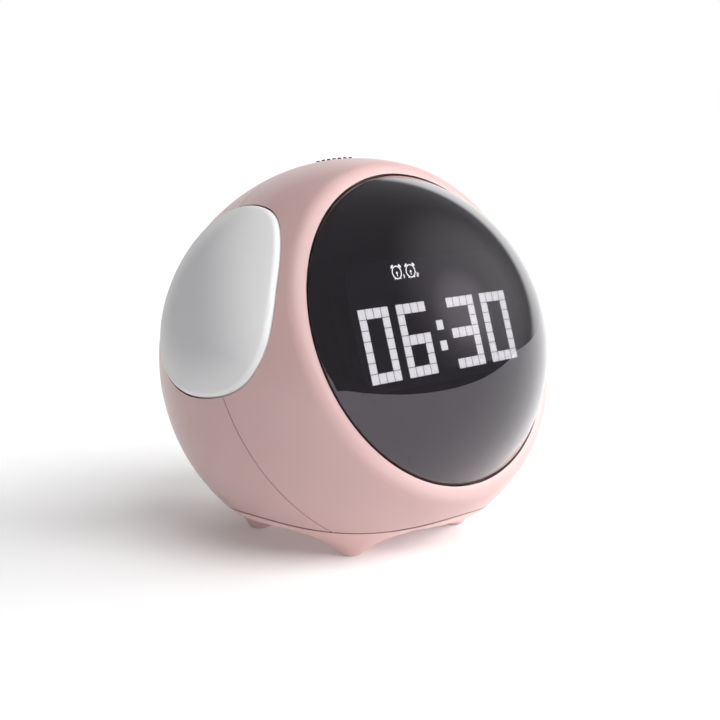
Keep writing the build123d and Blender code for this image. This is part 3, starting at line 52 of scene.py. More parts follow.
# ---------------------------------- shader graph
class Signal:
    """A socket of a shader graph. Arithmetic on signals adds Math nodes to the graph."""

    def __init__(self, graph: "Graph", socket: bpy.types.NodeSocket) -> None:
        """Wraps one socket of a graph."""
        self.graph = graph
        self.socket = socket

    def _math(self, operation: str, first: "Operand", second: "Operand") -> "Signal":
        """Adds one Math node."""
        return self.graph.node("ShaderNodeMath", {"operation": operation}, {0: first, 1: second})

    def __add__(self, other: "Operand") -> "Signal":
        """Sum."""
        return self._math("ADD", self, other)

    def __radd__(self, other: "Operand") -> "Signal":
        """Reflected sum."""
        return self._math("ADD", other, self)

    def __sub__(self, other: "Operand") -> "Signal":
        """Difference."""
        return self._math("SUBTRACT", self, other)

    def __rsub__(self, other: "Operand") -> "Signal":
        """Reflected difference."""
        return self._math("SUBTRACT", other, self)

    def __mul__(self, other: "Operand") -> "Signal":
        """Product."""
        return self._math("MULTIPLY", self, other)

    def __rmul__(self, other: "Operand") -> "Signal":
        """Reflected product."""
        return self._math("MULTIPLY", other, self)

    def __truediv__(self, other: "Operand") -> "Signal":
        """Quotient."""
        return self._math("DIVIDE", self, other)

    def __pow__(self, other: "Operand") -> "Signal":
        """Power."""
        return self._math("POWER", self, other)

    def __gt__(self, other: "Operand") -> "Signal":
        """1 where this signal is greater, 0 elsewhere."""
        return self._math("GREATER_THAN", self, other)

    def __lt__(self, other: "Operand") -> "Signal":
        """1 where this signal is less, 0 elsewhere."""
        return self._math("LESS_THAN", self, other)

    def __abs__(self) -> "Signal":
        """Magnitude."""
        return self._math("ABSOLUTE", self, 0.0)

    def at_least(self, other: "Operand") -> "Signal":
        """The larger of the two."""
        return self._math("MAXIMUM", self, other)

    def within(self, size: float) -> "Signal":
        """Distance from the nearest multiple of a size."""
        return self._math("PINGPONG", self, size / 2)

    def about(self, middle: "Operand", swing: float) -> "Signal":
        """A value that swings about a middle while this signal goes from 0 to 1."""
        return middle + (self - 0.5) * swing

    def ramp(self, start: float, end: float, low: float = 0.0, high: float = 1.0) -> "Signal":
        """Smooth step between two values.

        Args:
            start: value of this signal where the step begins.
            end: value of this signal where the step ends.
            low: what the step begins with.
            high: what the step ends with.

        Returns:
            The stepped signal.
        """
        settings = {"interpolation_type": "SMOOTHSTEP"}
        inputs = {0: self, 1: start, 2: end, 3: low, 4: high}
        return self.graph.node("ShaderNodeMapRange", settings, inputs)


Operand = Union[Signal, float]
Input = Union[Signal, float, Sequence[float]]


class Graph:
    """The node tree of a material or of the world, emptied and built up node by node."""

    def __init__(self, owner: Union[bpy.types.Material, bpy.types.World]) -> None:
        """Starts an empty tree.

        Args:
            owner: the material or the world that the tree belongs to.
        """
        self.owner = owner
        owner.use_nodes = True
        self.tree = owner.node_tree
        self.tree.nodes.clear()

    def node(
        self,
        kind: str,
        settings: Optional[dict[str, object]] = None,
        inputs: Optional[dict[Union[int, str], Input]] = None,
        output: Union[int, str] = 0,
    ) -> Optional[Signal]:
        """Adds any node.

        Args:
            kind: the node's type.
            settings: properties of the node, set first.
            inputs: value or signal of each input socket, by name or index.
            output: the output socket to return.

        Returns:
            The chosen output as a signal, or None for a node without outputs.
        """
        made = self.tree.nodes.new(kind)
        for name, value in (settings or {}).items():
            setattr(made, name, value)
        for name, value in (inputs or {}).items():
            socket = made.inputs[name]
            if isinstance(value, Signal):
                self.tree.links.new(value.socket, socket)
            else:
                socket.default_value = value
        return Signal(self, made.outputs[output]) if made.outputs else None

    def place(self) -> Signal:
        """Position in the piece's own frame, in metres."""
        return self.node("ShaderNodeTexCoord", output="Object")

    def axis(self, vector: Signal, name: str) -> Signal:
        """One coordinate of a vector."""
        return self.node("ShaderNodeSeparateXYZ", inputs={0: vector}, output=name)

    def vector_math(
        self, operation: str, first: Input, second: Input = (0, 0, 0), output: str = "Vector"
    ) -> Signal:
        """Adds one Vector Math node."""
        settings = {"operation": operation}
        return self.node("ShaderNodeVectorMath", settings, {0: first, 1: second}, output)

    def length(self, vector: Signal) -> Signal:
        """Length of a vector."""
        return self.vector_math("LENGTH", vector, output="Value")

    def dot(self, first: Input, second: Input) -> Signal:
        """Dot product of two vectors."""
        return self.vector_math("DOT_PRODUCT", first, second, "Value")

    def noise(self, where: Signal, size: float, detail: float = 2.0) -> Signal:
        """Noise between 0 and 1, by the size of its patches in metres."""
        inputs = {"Vector": where, "Scale": 1 / size, "Detail": detail}
        return self.node("ShaderNodeTexNoise", inputs=inputs)

    def mix(self, kind: str, share: Operand, first: Input, second: Input) -> Signal:
        """Value between two others.

        Args:
            kind: what is mixed, a key of MIX_SOCKETS.
            share: 0 for the first value, 1 for the second.
            first: the first value.
            second: the second value.

        Returns:
            The mixed value.
        """
        start, end, output = MIX_SOCKETS[kind]
        inputs = {0: share, start: first, end: second}
        return self.node("ShaderNodeMix", {"data_type": kind}, inputs, output)

    def mix_colours(self, share: Operand, first: Input, second: Input) -> Signal:
        """Colour between two colours, the first at a share of 0."""
        return self.mix("RGBA", share, solid(first), solid(second))

    def shades(self, share: Signal, colour: Colour, dark: float, light: float) -> Signal:
        """Shade of one colour, between two factors of its brightness."""
        return self.mix_colours(share, scaled(colour, dark), scaled(colour, light))

    def bump(self, height: Signal, depth: float, normal: Optional[Signal] = None) -> Signal:
        """Normal of a surface with a relief.

        Args:
            height: relief between 0 and 1.
            depth: depth of the relief in metres.
            normal: normal of the surface without it, if that isn't the mesh's own.

        Returns:
            The normal.
        """
        inputs = {"Strength": 1.0, "Distance": depth, "Height": height}
        if normal:
            inputs["Normal"] = normal
        return self.node("ShaderNodeBump", inputs=inputs)

    def domed_normal(
        self, arm: Signal, axis: Vector, inner_r: float = 0.0, reach: float = 3 * MM
    ) -> Signal:
        """Normal of a domed piece, worked out from its ball where its mesh closes in a pole.

        Args:
            arm: position from the dome's centre.
            axis: direction from there to the pole.
            inner_r: radius between its outer and its inner face.
            reach: how far round the pole it is worked out.

        Returns:
            The normal.
        """
        mesh_normal = self.node("ShaderNodeNewGeometry", output="Normal")
        back = self.node("ShaderNodeNewGeometry", output="Backfacing")
        across = self.length(self.vector_math("CROSS_PRODUCT", arm, axis))
        outer = self.length(arm) > inner_r
        side = (outer * 2 - 1) * (1 - back * 2)
        exact = self.vector_math("MULTIPLY", self.vector_math("NORMALIZE", arm), side)
        return self.mix("VECTOR", across < reach, mesh_normal, exact)

    def show(self, shader: Signal) -> None:
        """Ends the graph of a material in a shader."""
        self.node("ShaderNodeOutputMaterial", inputs={"Surface": shader})


def solid(colour: Input) -> Input:
    """A colour with full opacity, or the signal as it is."""
    return colour if isinstance(colour, Signal) else (*colour[:3], 1.0)


def tone(red: int, green: int, blue: int) -> Colour:
    """Linear colour of a display colour, by the standard curve of displays.

    Args:
        red: step of red, from 0 to 255.
        green: step of green.
        blue: step of blue.

    Returns:
        The linear colour.
    """
    return tuple(
        step / 255 / 12.92 if step <= 10 else ((step / 255 + 0.055) / 1.055) ** 2.4
        for step in (red, green, blue)
    )


def scaled(colour: Colour, share: float) -> Colour:
    """A colour made lighter or darker."""
    return tuple(min(part * share, 1.0) for part in colour)


# ---------------------------------- finishes
class Coating:
    """What every finish shares: a material that is one Principled shader."""

    def material(self, name: str) -> bpy.types.Material:
        """Makes the finish into a material.

        Args:
            name: what the material is called.

        Returns:
            The material.
        """
        graph = Graph(bpy.data.materials.new(name))
        inputs = self.inputs(graph, graph.place())
        graph.show(graph.node("ShaderNodeBsdfPrincipled", inputs=inputs))
        return graph.owner

    def inputs(self, graph: Graph, place: Signal) -> dict[str, Input]:
        """Works out the shader's inputs.

        Args:
            graph: where the nodes are added.
            place: position on the piece.

        Returns:
            The value or signal of each input that isn't at its default.
        """
        raise NotImplementedError


@dataclass(frozen=True)
class MouldedPlastic(Coating):
    """Moulded plastic with a spark-eroded grain and a slight drift of colour and gloss."""

    colour: Colour
    roughness: float = 0.45
    drift: float = 0.03
    patch: float = 18 * MM
    grain: float = 0.28 * MM
    depth: float = 0.006 * MM
    softness: float = 0.0
    grain_share: float = 0.2
    gloss_drift: float = 0.05
    soft_radii: Colour = (1.0, 0.6, 0.5)
    soft_depth: float = 1.2 * MM

    def inputs(self, graph: Graph, place: Signal) -> dict[str, Input]:
        """Colour and gloss in soft patches, over a fine grain.

        Args:
            graph: where the nodes are added.
            place: position on the piece.

        Returns:
            The shader's inputs.
        """
        cloud = graph.noise(place, self.patch, 3.0)
        grain = graph.noise(place, self.grain, 1.0)
        share = cloud * (1 - self.grain_share) + grain * self.grain_share
        colour = graph.shades(share, self.colour, 1 - self.drift, 1 + self.drift)
        roughness = cloud.about(self.roughness, self.gloss_drift)
        return {
            "Base Color": self.shaded(graph, place, colour),
            "Roughness": grain.about(roughness, self.gloss_drift),
            "Normal": graph.bump(grain, self.depth),
            "Subsurface Weight": self.softness,
            "Subsurface Radius": self.soft_radii,
            "Subsurface Scale": self.soft_depth,
        }

    def shaded(self, graph: Graph, place: Signal, colour: Signal) -> Signal:
        """The colour as the surface shows it."""
        return colour


@dataclass(frozen=True)
class ShellPlastic(MouldedPlastic):
    """Plastic of the shells, with a painted shade line along their lower edge, where the gap to
    the base begins.
    """

    # Colour of the painted shade that stands in for the shadow in the gap to the base.
    painted_seam_shade: Colour = tone(96, 62, 62)
    painted_shade_width: float = 0.42 * MM
    painted_shade_top: float = 12.0 * MM
    seam_r: float = 36.35 * MM
    seam_wave: float = 1.25 * MM
    seam_peak: float = 0.07 * MM
    seam_lean: float = 1.04 * MM

    def shaded(self, graph: Graph, place: Signal, colour: Signal) -> Signal:
        """The colour with a painted shade line along the lower edge, whose radius swings out
        between the four feet.

        Args:
            graph: where the nodes are added.
            place: position on the shell.
            colour: the plastic's own colour.

        Returns:
            The colour.
        """
        x, y = graph.axis(place, "X"), graph.axis(place, "Y") - BALL_CENTRE.y
        reach = (x * x + y * y) ** 0.5
        right, back = x / reach, y / reach
        # The seam swings four and eight times a turn, and its swings lean near +X.
        double = right * right - back * back
        wave = double * double * 2 - 1
        peak = wave * wave * 2 - 1
        lean = right.at_least(0.0) ** 4 * right * back * double * 2
        swing = wave * self.seam_wave + peak * self.seam_peak - lean * self.seam_lean
        # Painted shade: a dark band on the shell's lower edge stands in for the shadow in the
        # gap to the base.
        painted_shade_band = reach < swing + (self.seam_r + self.painted_shade_width)
        edge = painted_shade_band * (graph.axis(place, "Z") < self.painted_shade_top)
        return graph.mix_colours(edge, colour, self.painted_seam_shade)


@dataclass(frozen=True)
class MilkyPlastic(Coating):
    """Translucent milky plastic of a night light, whiter towards the clock's face and towards
    its rim, as painted light and a painted rim light.
    """

    painted_shade_colour: Colour
    white: Colour
    axis: Vector
    # Direction towards which the painted light whitens the panel.
    painted_light_side: Vector = Vector((0, -0.85, 0.5))
    painted_shade_at: float = 2 * MM
    painted_light_at: float = 23 * MM
    middle_r: float = 12 * MM
    painted_rim_r: float = 24 * MM
    edge_share: float = 0.6
    roughness: float = 0.5
    patch: float = 15 * MM
    patch_share: float = 0.06
    gloss_drift: float = 0.1
    grain: float = 0.3 * MM
    depth: float = 0.004 * MM
    softness: float = 0.35
    soft_radii: Colour = (1.0, 0.95, 0.9)
    soft_depth: float = 2.0 * MM

    def inputs(self, graph: Graph, place: Signal) -> dict[str, Input]:
        """Painted light: whiter by the distance towards the clock's face from the ball's middle,
        and a painted rim light off the panel's axis.

        Args:
            graph: where the nodes are added.
            place: position on the panel.

        Returns:
            The shader's inputs.
        """
        arm = graph.vector_math("SUBTRACT", place, BALL_CENTRE)
        reach = graph.length(graph.vector_math("CROSS_PRODUCT", arm, self.axis))
        cloud = graph.noise(place, self.patch)
        grain = graph.noise(place, self.grain, 1.0)
        # Painted light: whiter towards the lit side of the clock's face, and a painted rim light
        # away from the panel's axis.
        painted_front_light = graph.dot(arm, self.painted_light_side).ramp(self.painted_shade_at, self.painted_light_at)
        outward = reach.ramp(self.middle_r, self.painted_rim_r, 0.0, self.edge_share)
        share = painted_front_light.at_least(outward) * (1 - self.patch_share) + cloud * self.patch_share
        return {
            "Base Color": graph.mix_colours(share, self.painted_shade_colour, self.white),
            "Roughness": cloud.about(self.roughness, self.gloss_drift),
            "Normal": graph.bump(grain, self.depth, graph.domed_normal(arm, self.axis)),
            "Subsurface Weight": self.softness,
            "Subsurface Radius": self.soft_radii,
            "Subsurface Scale": self.soft_depth,
        }


@dataclass(frozen=True)
class SmokedLens(Coating):
    """Polished smoked plastic with a hard coat, which shows only what shines behind it."""

    colour: Colour
    cast: Colour
    axis: Vector
    centre: Vector
    middle_r: float = 46.9 * MM
    roughness: float = 0.015
    patch: float = 25 * MM
    drift: float = 0.04
    gloss_drift: float = 0.012
    index: float = 1.49
    coat_index: float = 1.6
    coat_roughness: float = 0.02

    def inputs(self, graph: Graph, place: Signal) -> dict[str, Input]:
        """Clear smoke, with a faint swirl in its colour and polish.

        Args:
            graph: where the nodes are added.
            place: position on the lens.

        Returns:
            The shader's inputs.
        """
        arm = graph.vector_math("SUBTRACT", place, self.centre)
        swirl = graph.noise(place, self.patch)
        return {
            "Base Color": graph.shades(swirl, self.colour, 1 - self.drift, 1 + self.drift),
            "Roughness": self.roughness + swirl * self.gloss_drift,
            "Normal": graph.domed_normal(arm, self.axis, self.middle_r),
            "IOR": self.index,
            "Specular IOR Level": 1.0,
            "Specular Tint": solid(self.cast),
            "Transmission Weight": 1.0,
            "Coat Weight": 1.0,
            "Coat IOR": self.coat_index,
            "Coat Roughness": self.coat_roughness,
        }


@dataclass(frozen=True)
class LitCells(Coating):
    """Glowing cells of the light panel, a little brighter in the middle of each cell."""

    colour: Colour
    strength: float
    pitch: float
    drop: float
    bright_share: float = 0.15
    edge_share: float = 0.75
    edge_glow: float = 0.86
    patch: float = 9 * MM
    drift: float = 0.06
    unlit_shade: float = 0.4
    roughness: float = 0.6
    gloss_drift: float = 0.1

    def inputs(self, graph: Graph, place: Signal) -> dict[str, Input]:
        """Glow that fades from the middle of each cell.

        Args:
            graph: where the nodes are added.
            place: position on the panel.

        Returns:
            The shader's inputs.
        """
        across = graph.axis(place, "X").within(self.pitch)
        along = (graph.axis(place, "Y") + self.drop).within(self.pitch)
        reach = (across * across + along * along) ** 0.5
        start, end = self.bright_share * self.pitch, self.edge_share * self.pitch
        spread = graph.noise(place, self.patch, 1.0)
        share = reach.ramp(start, end, 1.0, self.edge_glow) * spread.about(1.0, self.drift)
        return {
            "Base Color": solid(scaled(self.colour, self.unlit_shade)),
            "Roughness": self.roughness + spread * self.gloss_drift,
            "Emission Color": graph.mix_colours(share, (0, 0, 0), self.colour),
            "Emission Strength": self.strength,
        }


@dataclass(frozen=True)
class CircuitBoard(Coating):
    """Solder mask over copper runs, with plated through-holes."""

    mask: Colour
    copper: Colour
    runs_per_metre: float = 220.0
    run_gap: float = 0.012
    run_shade: float = 1.7
    holes_per_metre: float = 330.0
    hole_r: float = 0.10
    ring_r: float = 0.14
    plating: float = 0.9
    roughness: float = 0.38
    plated_gloss: float = 0.1
    depth: float = 0.02 * MM

    def inputs(self, graph: Graph, place: Signal) -> dict[str, Input]:
        """Runs and holes in regular patterns.

        Args:
            graph: where the nodes are added.
            place: position on the board.

        Returns:
            The shader's inputs.
        """
        pattern = {"Vector": place, "Scale": self.runs_per_metre, "Mortar Size": self.run_gap}
        runs = graph.node("ShaderNodeTexBrick", inputs=pattern, output="Fac")
        pattern = {"Vector": place, "Scale": self.holes_per_metre}
        holes = graph.node("ShaderNodeTexVoronoi", inputs=pattern, output="Distance")
        plated = 1 - holes.ramp(self.hole_r, self.ring_r)
        base = graph.shades(runs, self.mask, 1.0, self.run_shade)
        return {
            "Base Color": graph.mix_colours(plated, base, self.copper),
            "Metallic": plated * self.plating,
            "Roughness": self.roughness - plated * self.plated_gloss,
            "Normal": graph.bump(runs, self.depth),
        }


@dataclass(frozen=True)
class PlatedMetal(Coating):
    """Zinc or nickel plating with fine turning marks."""

    colour: Colour
    roughness: float = 0.32
    patch: float = 3 * MM
    dark_shade: float = 0.9
    scratch: float = 0.5 * MM
    stretch: Vector = Vector((1.0, 1.0, 12.0))
    gloss_drift: float = 0.25
    depth: float = 0.004 * MM

    def inputs(self, graph: Graph, place: Signal) -> dict[str, Input]:
        """Bare metal whose marks show in its gloss.

        Args:
            graph: where the nodes are added.
            place: position on the piece.

        Returns:
            The shader's inputs.
        """
        cloud = graph.noise(place, self.patch, 3.0)
        stretched = graph.vector_math("MULTIPLY", place, self.stretch)
        scratch = graph.noise(stretched, self.scratch)
        return {
            "Base Color": graph.shades(cloud, self.colour, self.dark_shade, 1.0),
            "Metallic": 1.0,
            "Roughness": scratch.about(self.roughness, self.gloss_drift),
            "Normal": graph.bump(scratch, self.depth),
        }


@dataclass(frozen=True)
class Fibrous(Coating):
    """Pressed paper or closed-cell foam."""

    colour: Colour
    strand: float
    depth: float
    roughness: float = 0.85
    drift: float = 0.25
    gloss_drift: float = 0.2

    def inputs(self, graph: Graph, place: Signal) -> dict[str, Input]:
        """Felted strands in the colour, the gloss and the relief.

        Args:
            graph: where the nodes are added.
            place: position on the piece.

        Returns:
            The shader's inputs.
        """
        felt = graph.noise(place, self.strand, 4.0)
        return {
            "Base Color": graph.shades(felt, self.colour, 1 - self.drift, 1 + self.drift),
            "Roughness": felt.about(self.roughness, self.gloss_drift),
            "Normal": graph.bump(felt, self.depth),
        }


@dataclass(frozen=True)
class ShrinkWrap(Coating):
    """Shrink wrap of a rechargeable cell, with its bare metal ends."""

    colour: Colour
    metal: Colour
    half_length: float
    overlap: float = 0.6 * MM
    crease: float = 2 * MM
    stretch: Vector = Vector((0.2, 1.0, 1.0))
    drift: float = 0.1
    roughness: float = 0.3
    gloss_drift: float = 0.1
    depth: float = 0.02 * MM

    def inputs(self, graph: Graph, place: Signal) -> dict[str, Input]:
        """Wrap with creases along the cell, and metal past its ends.

        Args:
            graph: where the nodes are added.
            place: position on the cell, which lies along X.

        Returns:
            The shader's inputs.
        """
        bare = abs(graph.axis(place, "X")) > self.half_length - self.overlap
        stretched = graph.vector_math("MULTIPLY", place, self.stretch)
        crease = graph.noise(stretched, self.crease)
        wrap = graph.shades(crease, self.colour, 1 - self.drift, 1 + self.drift)
        return {
            "Base Color": graph.mix_colours(bare, wrap, self.metal),
            "Metallic": bare,
            "Roughness": self.roughness + crease * self.gloss_drift,
            "Normal": graph.bump(crease, self.depth),
        }


class Finish(Enum):
    """Every plain finish, by the name of its material."""

    shell = ShellPlastic(tone(205, 171, 169), roughness=0.29, drift=0.018, softness=0.06)
    # Painted light: the base's pink is made lighter than the shell's to stand in for light
    # bounced up from the floor.
    base = MouldedPlastic(tone(230, 193, 190), roughness=0.34, drift=0.018, softness=0.06)
    key = MouldedPlastic(tone(208, 173, 171), roughness=0.42, drift=0.02, patch=4 * MM)
    black = MouldedPlastic(tone(24, 23, 25), roughness=0.5, drift=0.08, patch=8 * MM)
    white = MouldedPlastic(tone(231, 231, 228), roughness=0.5, drift=0.02, patch=9 * MM)
    lead = MouldedPlastic(tone(188, 58, 52), roughness=0.45, drift=0.06, patch=3 * MM)
    chips = MouldedPlastic(
        tone(29, 29, 31), roughness=0.55, drift=0.1, patch=2 * MM, depth=0.01 * MM
    )
    film = MouldedPlastic(
        tone(26, 25, 28), roughness=0.6, drift=0.04, patch=12 * MM, grain=0.2 * MM
    )
    pad_rubber = MouldedPlastic(
        tone(150, 132, 133), roughness=0.72, drift=0.05, patch=2 * MM, depth=0.012 * MM
    )
    board = CircuitBoard(tone(31, 74, 51), tone(222, 184, 110))
    steel = PlatedMetal(tone(200, 202, 205))
    magnet = PlatedMetal(tone(150, 152, 158), roughness=0.42)
    gold = PlatedMetal(tone(231, 196, 118), roughness=0.25)
    foam = Fibrous(tone(38, 37, 38), strand=0.35 * MM, depth=0.03 * MM)
    paper = Fibrous(tone(58, 56, 54), strand=0.5 * MM, depth=0.02 * MM)
    wrap = ShrinkWrap(tone(90, 111, 168), tone(196, 197, 200), half_length=25 * MM)

    def dress(self, *pieces: bpy.types.Object) -> None:
        """Puts the finish on pieces.

        Args:
            pieces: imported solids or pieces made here.
        """
        material = bpy.data.materials.get(self.name) or self.value.material(self.name)
        for piece in pieces:
            cover(piece, material)


def cover(piece: bpy.types.Object, material: bpy.types.Material) -> None:
    """Puts one material on all of a piece.

    Args:
        piece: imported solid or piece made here.
        material: what it gets.
    """
    if not piece.material_slots:
        piece.data.materials.append(material)
    for place in piece.material_slots:
        place.material = material


def solids(*names: str) -> list[bpy.types.Object]:
    """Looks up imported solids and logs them.

    Args:
        names: names of their nodes.

    Returns:
        The solids, in the same order.
    """
    for name in names:
        log.info("dresses %s", name)
    return [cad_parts[name] for name in names]


# ---------------------------------- mesh helpers
def toward(turn: float, rise: float) -> Vector:
    """Direction at so many degrees round from +X and up from the floor."""
    around, up = radians(turn), radians(rise)
    return Vector((cos(up) * cos(around), cos(up) * sin(around), sin(up)))


def frame_at(origin: Vector, right: Vector, up: Vector) -> Matrix:
    """Placement of a flat pattern.

    Args:
        origin: where the pattern's origin goes.
        right: direction of its x.
        up: direction of its y.

    Returns:
        The placement, with z out of the pattern.
    """
    turn = Matrix((right, up, right.cross(up))).transposed().to_4x4()
    return Matrix.Translation(origin) @ turn


def rounded_outline(width: float, height: float, corner: float, steps: int = 3) -> list[Point]:
    """Outline of a rounded rectangle about the origin.

    Args:
        width: overall width.
        height: overall height.
        corner: radius of the corners.
        steps: segments of each corner.

    Returns:
        The points, anticlockwise.
    """
    points = []
    for quarter, (side_x, side_y) in enumerate(((1, 1), (-1, 1), (-1, -1), (1, -1))):
        for step in range(steps + 1):
            angle = (quarter + step / steps) * pi / 2
            x = side_x * (width / 2 - corner) + corner * cos(angle)
            y = side_y * (height / 2 - corner) + corner * sin(angle)
            points.append((x, y))
    return points


def circle_outline(radius: float, steps: int = 28) -> list[Point]:
    """Points of a circle about the origin, anticlockwise."""
    angles = [2 * pi * step / steps for step in range(steps)]
    return [(radius * cos(angle), radius * sin(angle)) for angle in angles]


def moved(outline: Sequence[Point], x: float, y: float, turn: float = 0.0) -> list[Point]:
    """An outline turned by an angle in degrees and then shifted."""
    c, s = cos(radians(turn)), sin(radians(turn))
    return [(px * c - py * s + x, px * s + py * c + y) for px, py in outline]


def add_plate(
    mesh: bmesh.types.BMesh, outline: Sequence[Point], bottom: float, top: float
) -> None:
    """Adds a closed flat plate to a mesh.

    Args:
        mesh: what it is added to.
        outline: its points, anticlockwise.
        bottom: height of its underside.
        top: height of its face.
    """
    low = [mesh.verts.new((x, y, bottom)) for x, y in outline]
    high = [mesh.verts.new((x, y, top)) for x, y in outline]
    mesh.faces.new(list(reversed(low)))
    mesh.faces.new(high)
    for i in range(len(outline)):
        j = (i + 1) % len(outline)
        mesh.faces.new((low[i], low[j], high[j], high[i]))


def add_ring(
    mesh: bmesh.types.BMesh, centre: Point, radii: Point, bottom: float, top: float
) -> None:
    """Adds a flat ring to a mesh.

    Args:
        mesh: what it is added to.
        centre: its middle.
        radii: its outer and its inner radius.
        bottom: height of its underside.
        top: height of its face.
    """
    outer, inner = radii
    loops = []
    for radius, height in ((outer, bottom), (outer, top), (inner, top), (inner, bottom)):
        points = moved(circle_outline(radius), *centre)
        loops.append([mesh.verts.new((x, y, height)) for x, y in points])
    count = len(loops[0])
    for first, second in zip(loops, loops[1:] + loops[:1]):
        for i in range(count):
            j = (i + 1) % count
            mesh.faces.new((first[i], first[j], second[j], second[i]))


def piece_from(
    name: str, build: Callable[[bmesh.types.BMesh], None], placement: Matrix
) -> bpy.types.Object:
    """Makes a piece.

    Args:
        name: its name.
        build: what adds its faces to an empty mesh.
        placement: where its own frame lies.

    Returns:
        The piece, linked to the scene.
    """
    mesh = bmesh.new()
    build(mesh)
    bmesh.ops.recalc_face_normals(mesh, faces=mesh.faces)
    data = bpy.data.meshes.new(name)
    mesh.to_mesh(data)
    mesh.free()
    piece = bpy.data.objects.new(name, data)
    bpy.context.scene.collection.objects.link(piece)
    piece.matrix_world = placement
    log.info("builds %s", name)
    return piece


# ---------------------------------- the clock
class Assembly:
    """A sub-assembly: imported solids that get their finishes, and pieces made here."""

    def build(self) -> None:
        """Builds nothing, unless a sub-assembly has pieces of its own."""

    def dress(self) -> None:
        """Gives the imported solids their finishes."""
        raise NotImplementedError


@dataclass
class Housing(Assembly):
    """The two shells of the ball and the base under them."""

    def dress(self) -> None:
        """Gives the housing its finishes."""
        Finish.shell.dress(*solids("front_shell", "rear_shell"))
        Finish.base.dress(*solids("base_tray"))
        Finish.pad_rubber.dress(*solids("foot_pads"))
        Finish.steel.dress(*solids("base_screws"))


@dataclass(frozen=True)
class Mark:
    """Rounded bar of a small lit figure, in millimetres from the figure's middle."""

    width: float
    height: float
    corner: float
    x: float = 0.0
    y: float = 0.0
    turn: float = 0.0

    def outline(self, x: float, y: float) -> list[Point]:
        """Its points, with the figure's middle at a place in metres."""
        bar = rounded_outline(self.width * MM, self.height * MM, self.corner * MM)
        return moved(bar, x + self.x * MM, y + self.y * MM, self.turn)


# A bell clock inside its ring: a bell and a foot on each side, the dial's dot and the hand.
BELL_CLOCK = (
    Mark(1.05, 0.46, 0.22, -1.36, 1.52, 42),
    Mark(0.36, 0.3, 0.1, -0.98, -1.5, 40),
    Mark(1.05, 0.46, 0.22, 1.36, 1.52, -42),
    Mark(0.36, 0.3, 0.1, 0.98, -1.5, -40),
    Mark(0.56, 0.6, 0.26, 0.0, -0.1),
    Mark(0.22, 0.9, 0.1, 0.0, -0.5),
)
# The small 1 and 2 beside the bell clocks.
FIGURES = (
    (Mark(0.24, 1.0, 0.06),),
    (
        Mark(0.7, 0.2, 0.06, 0.0, -0.4),
        Mark(0.7, 0.2, 0.06),
        Mark(0.7, 0.2, 0.06, 0.0, 0.4),
        Mark(0.22, 0.42, 0.06, 0.24, 0.2),
        Mark(0.22, 0.42, 0.06, -0.24, -0.2),
    ),
)


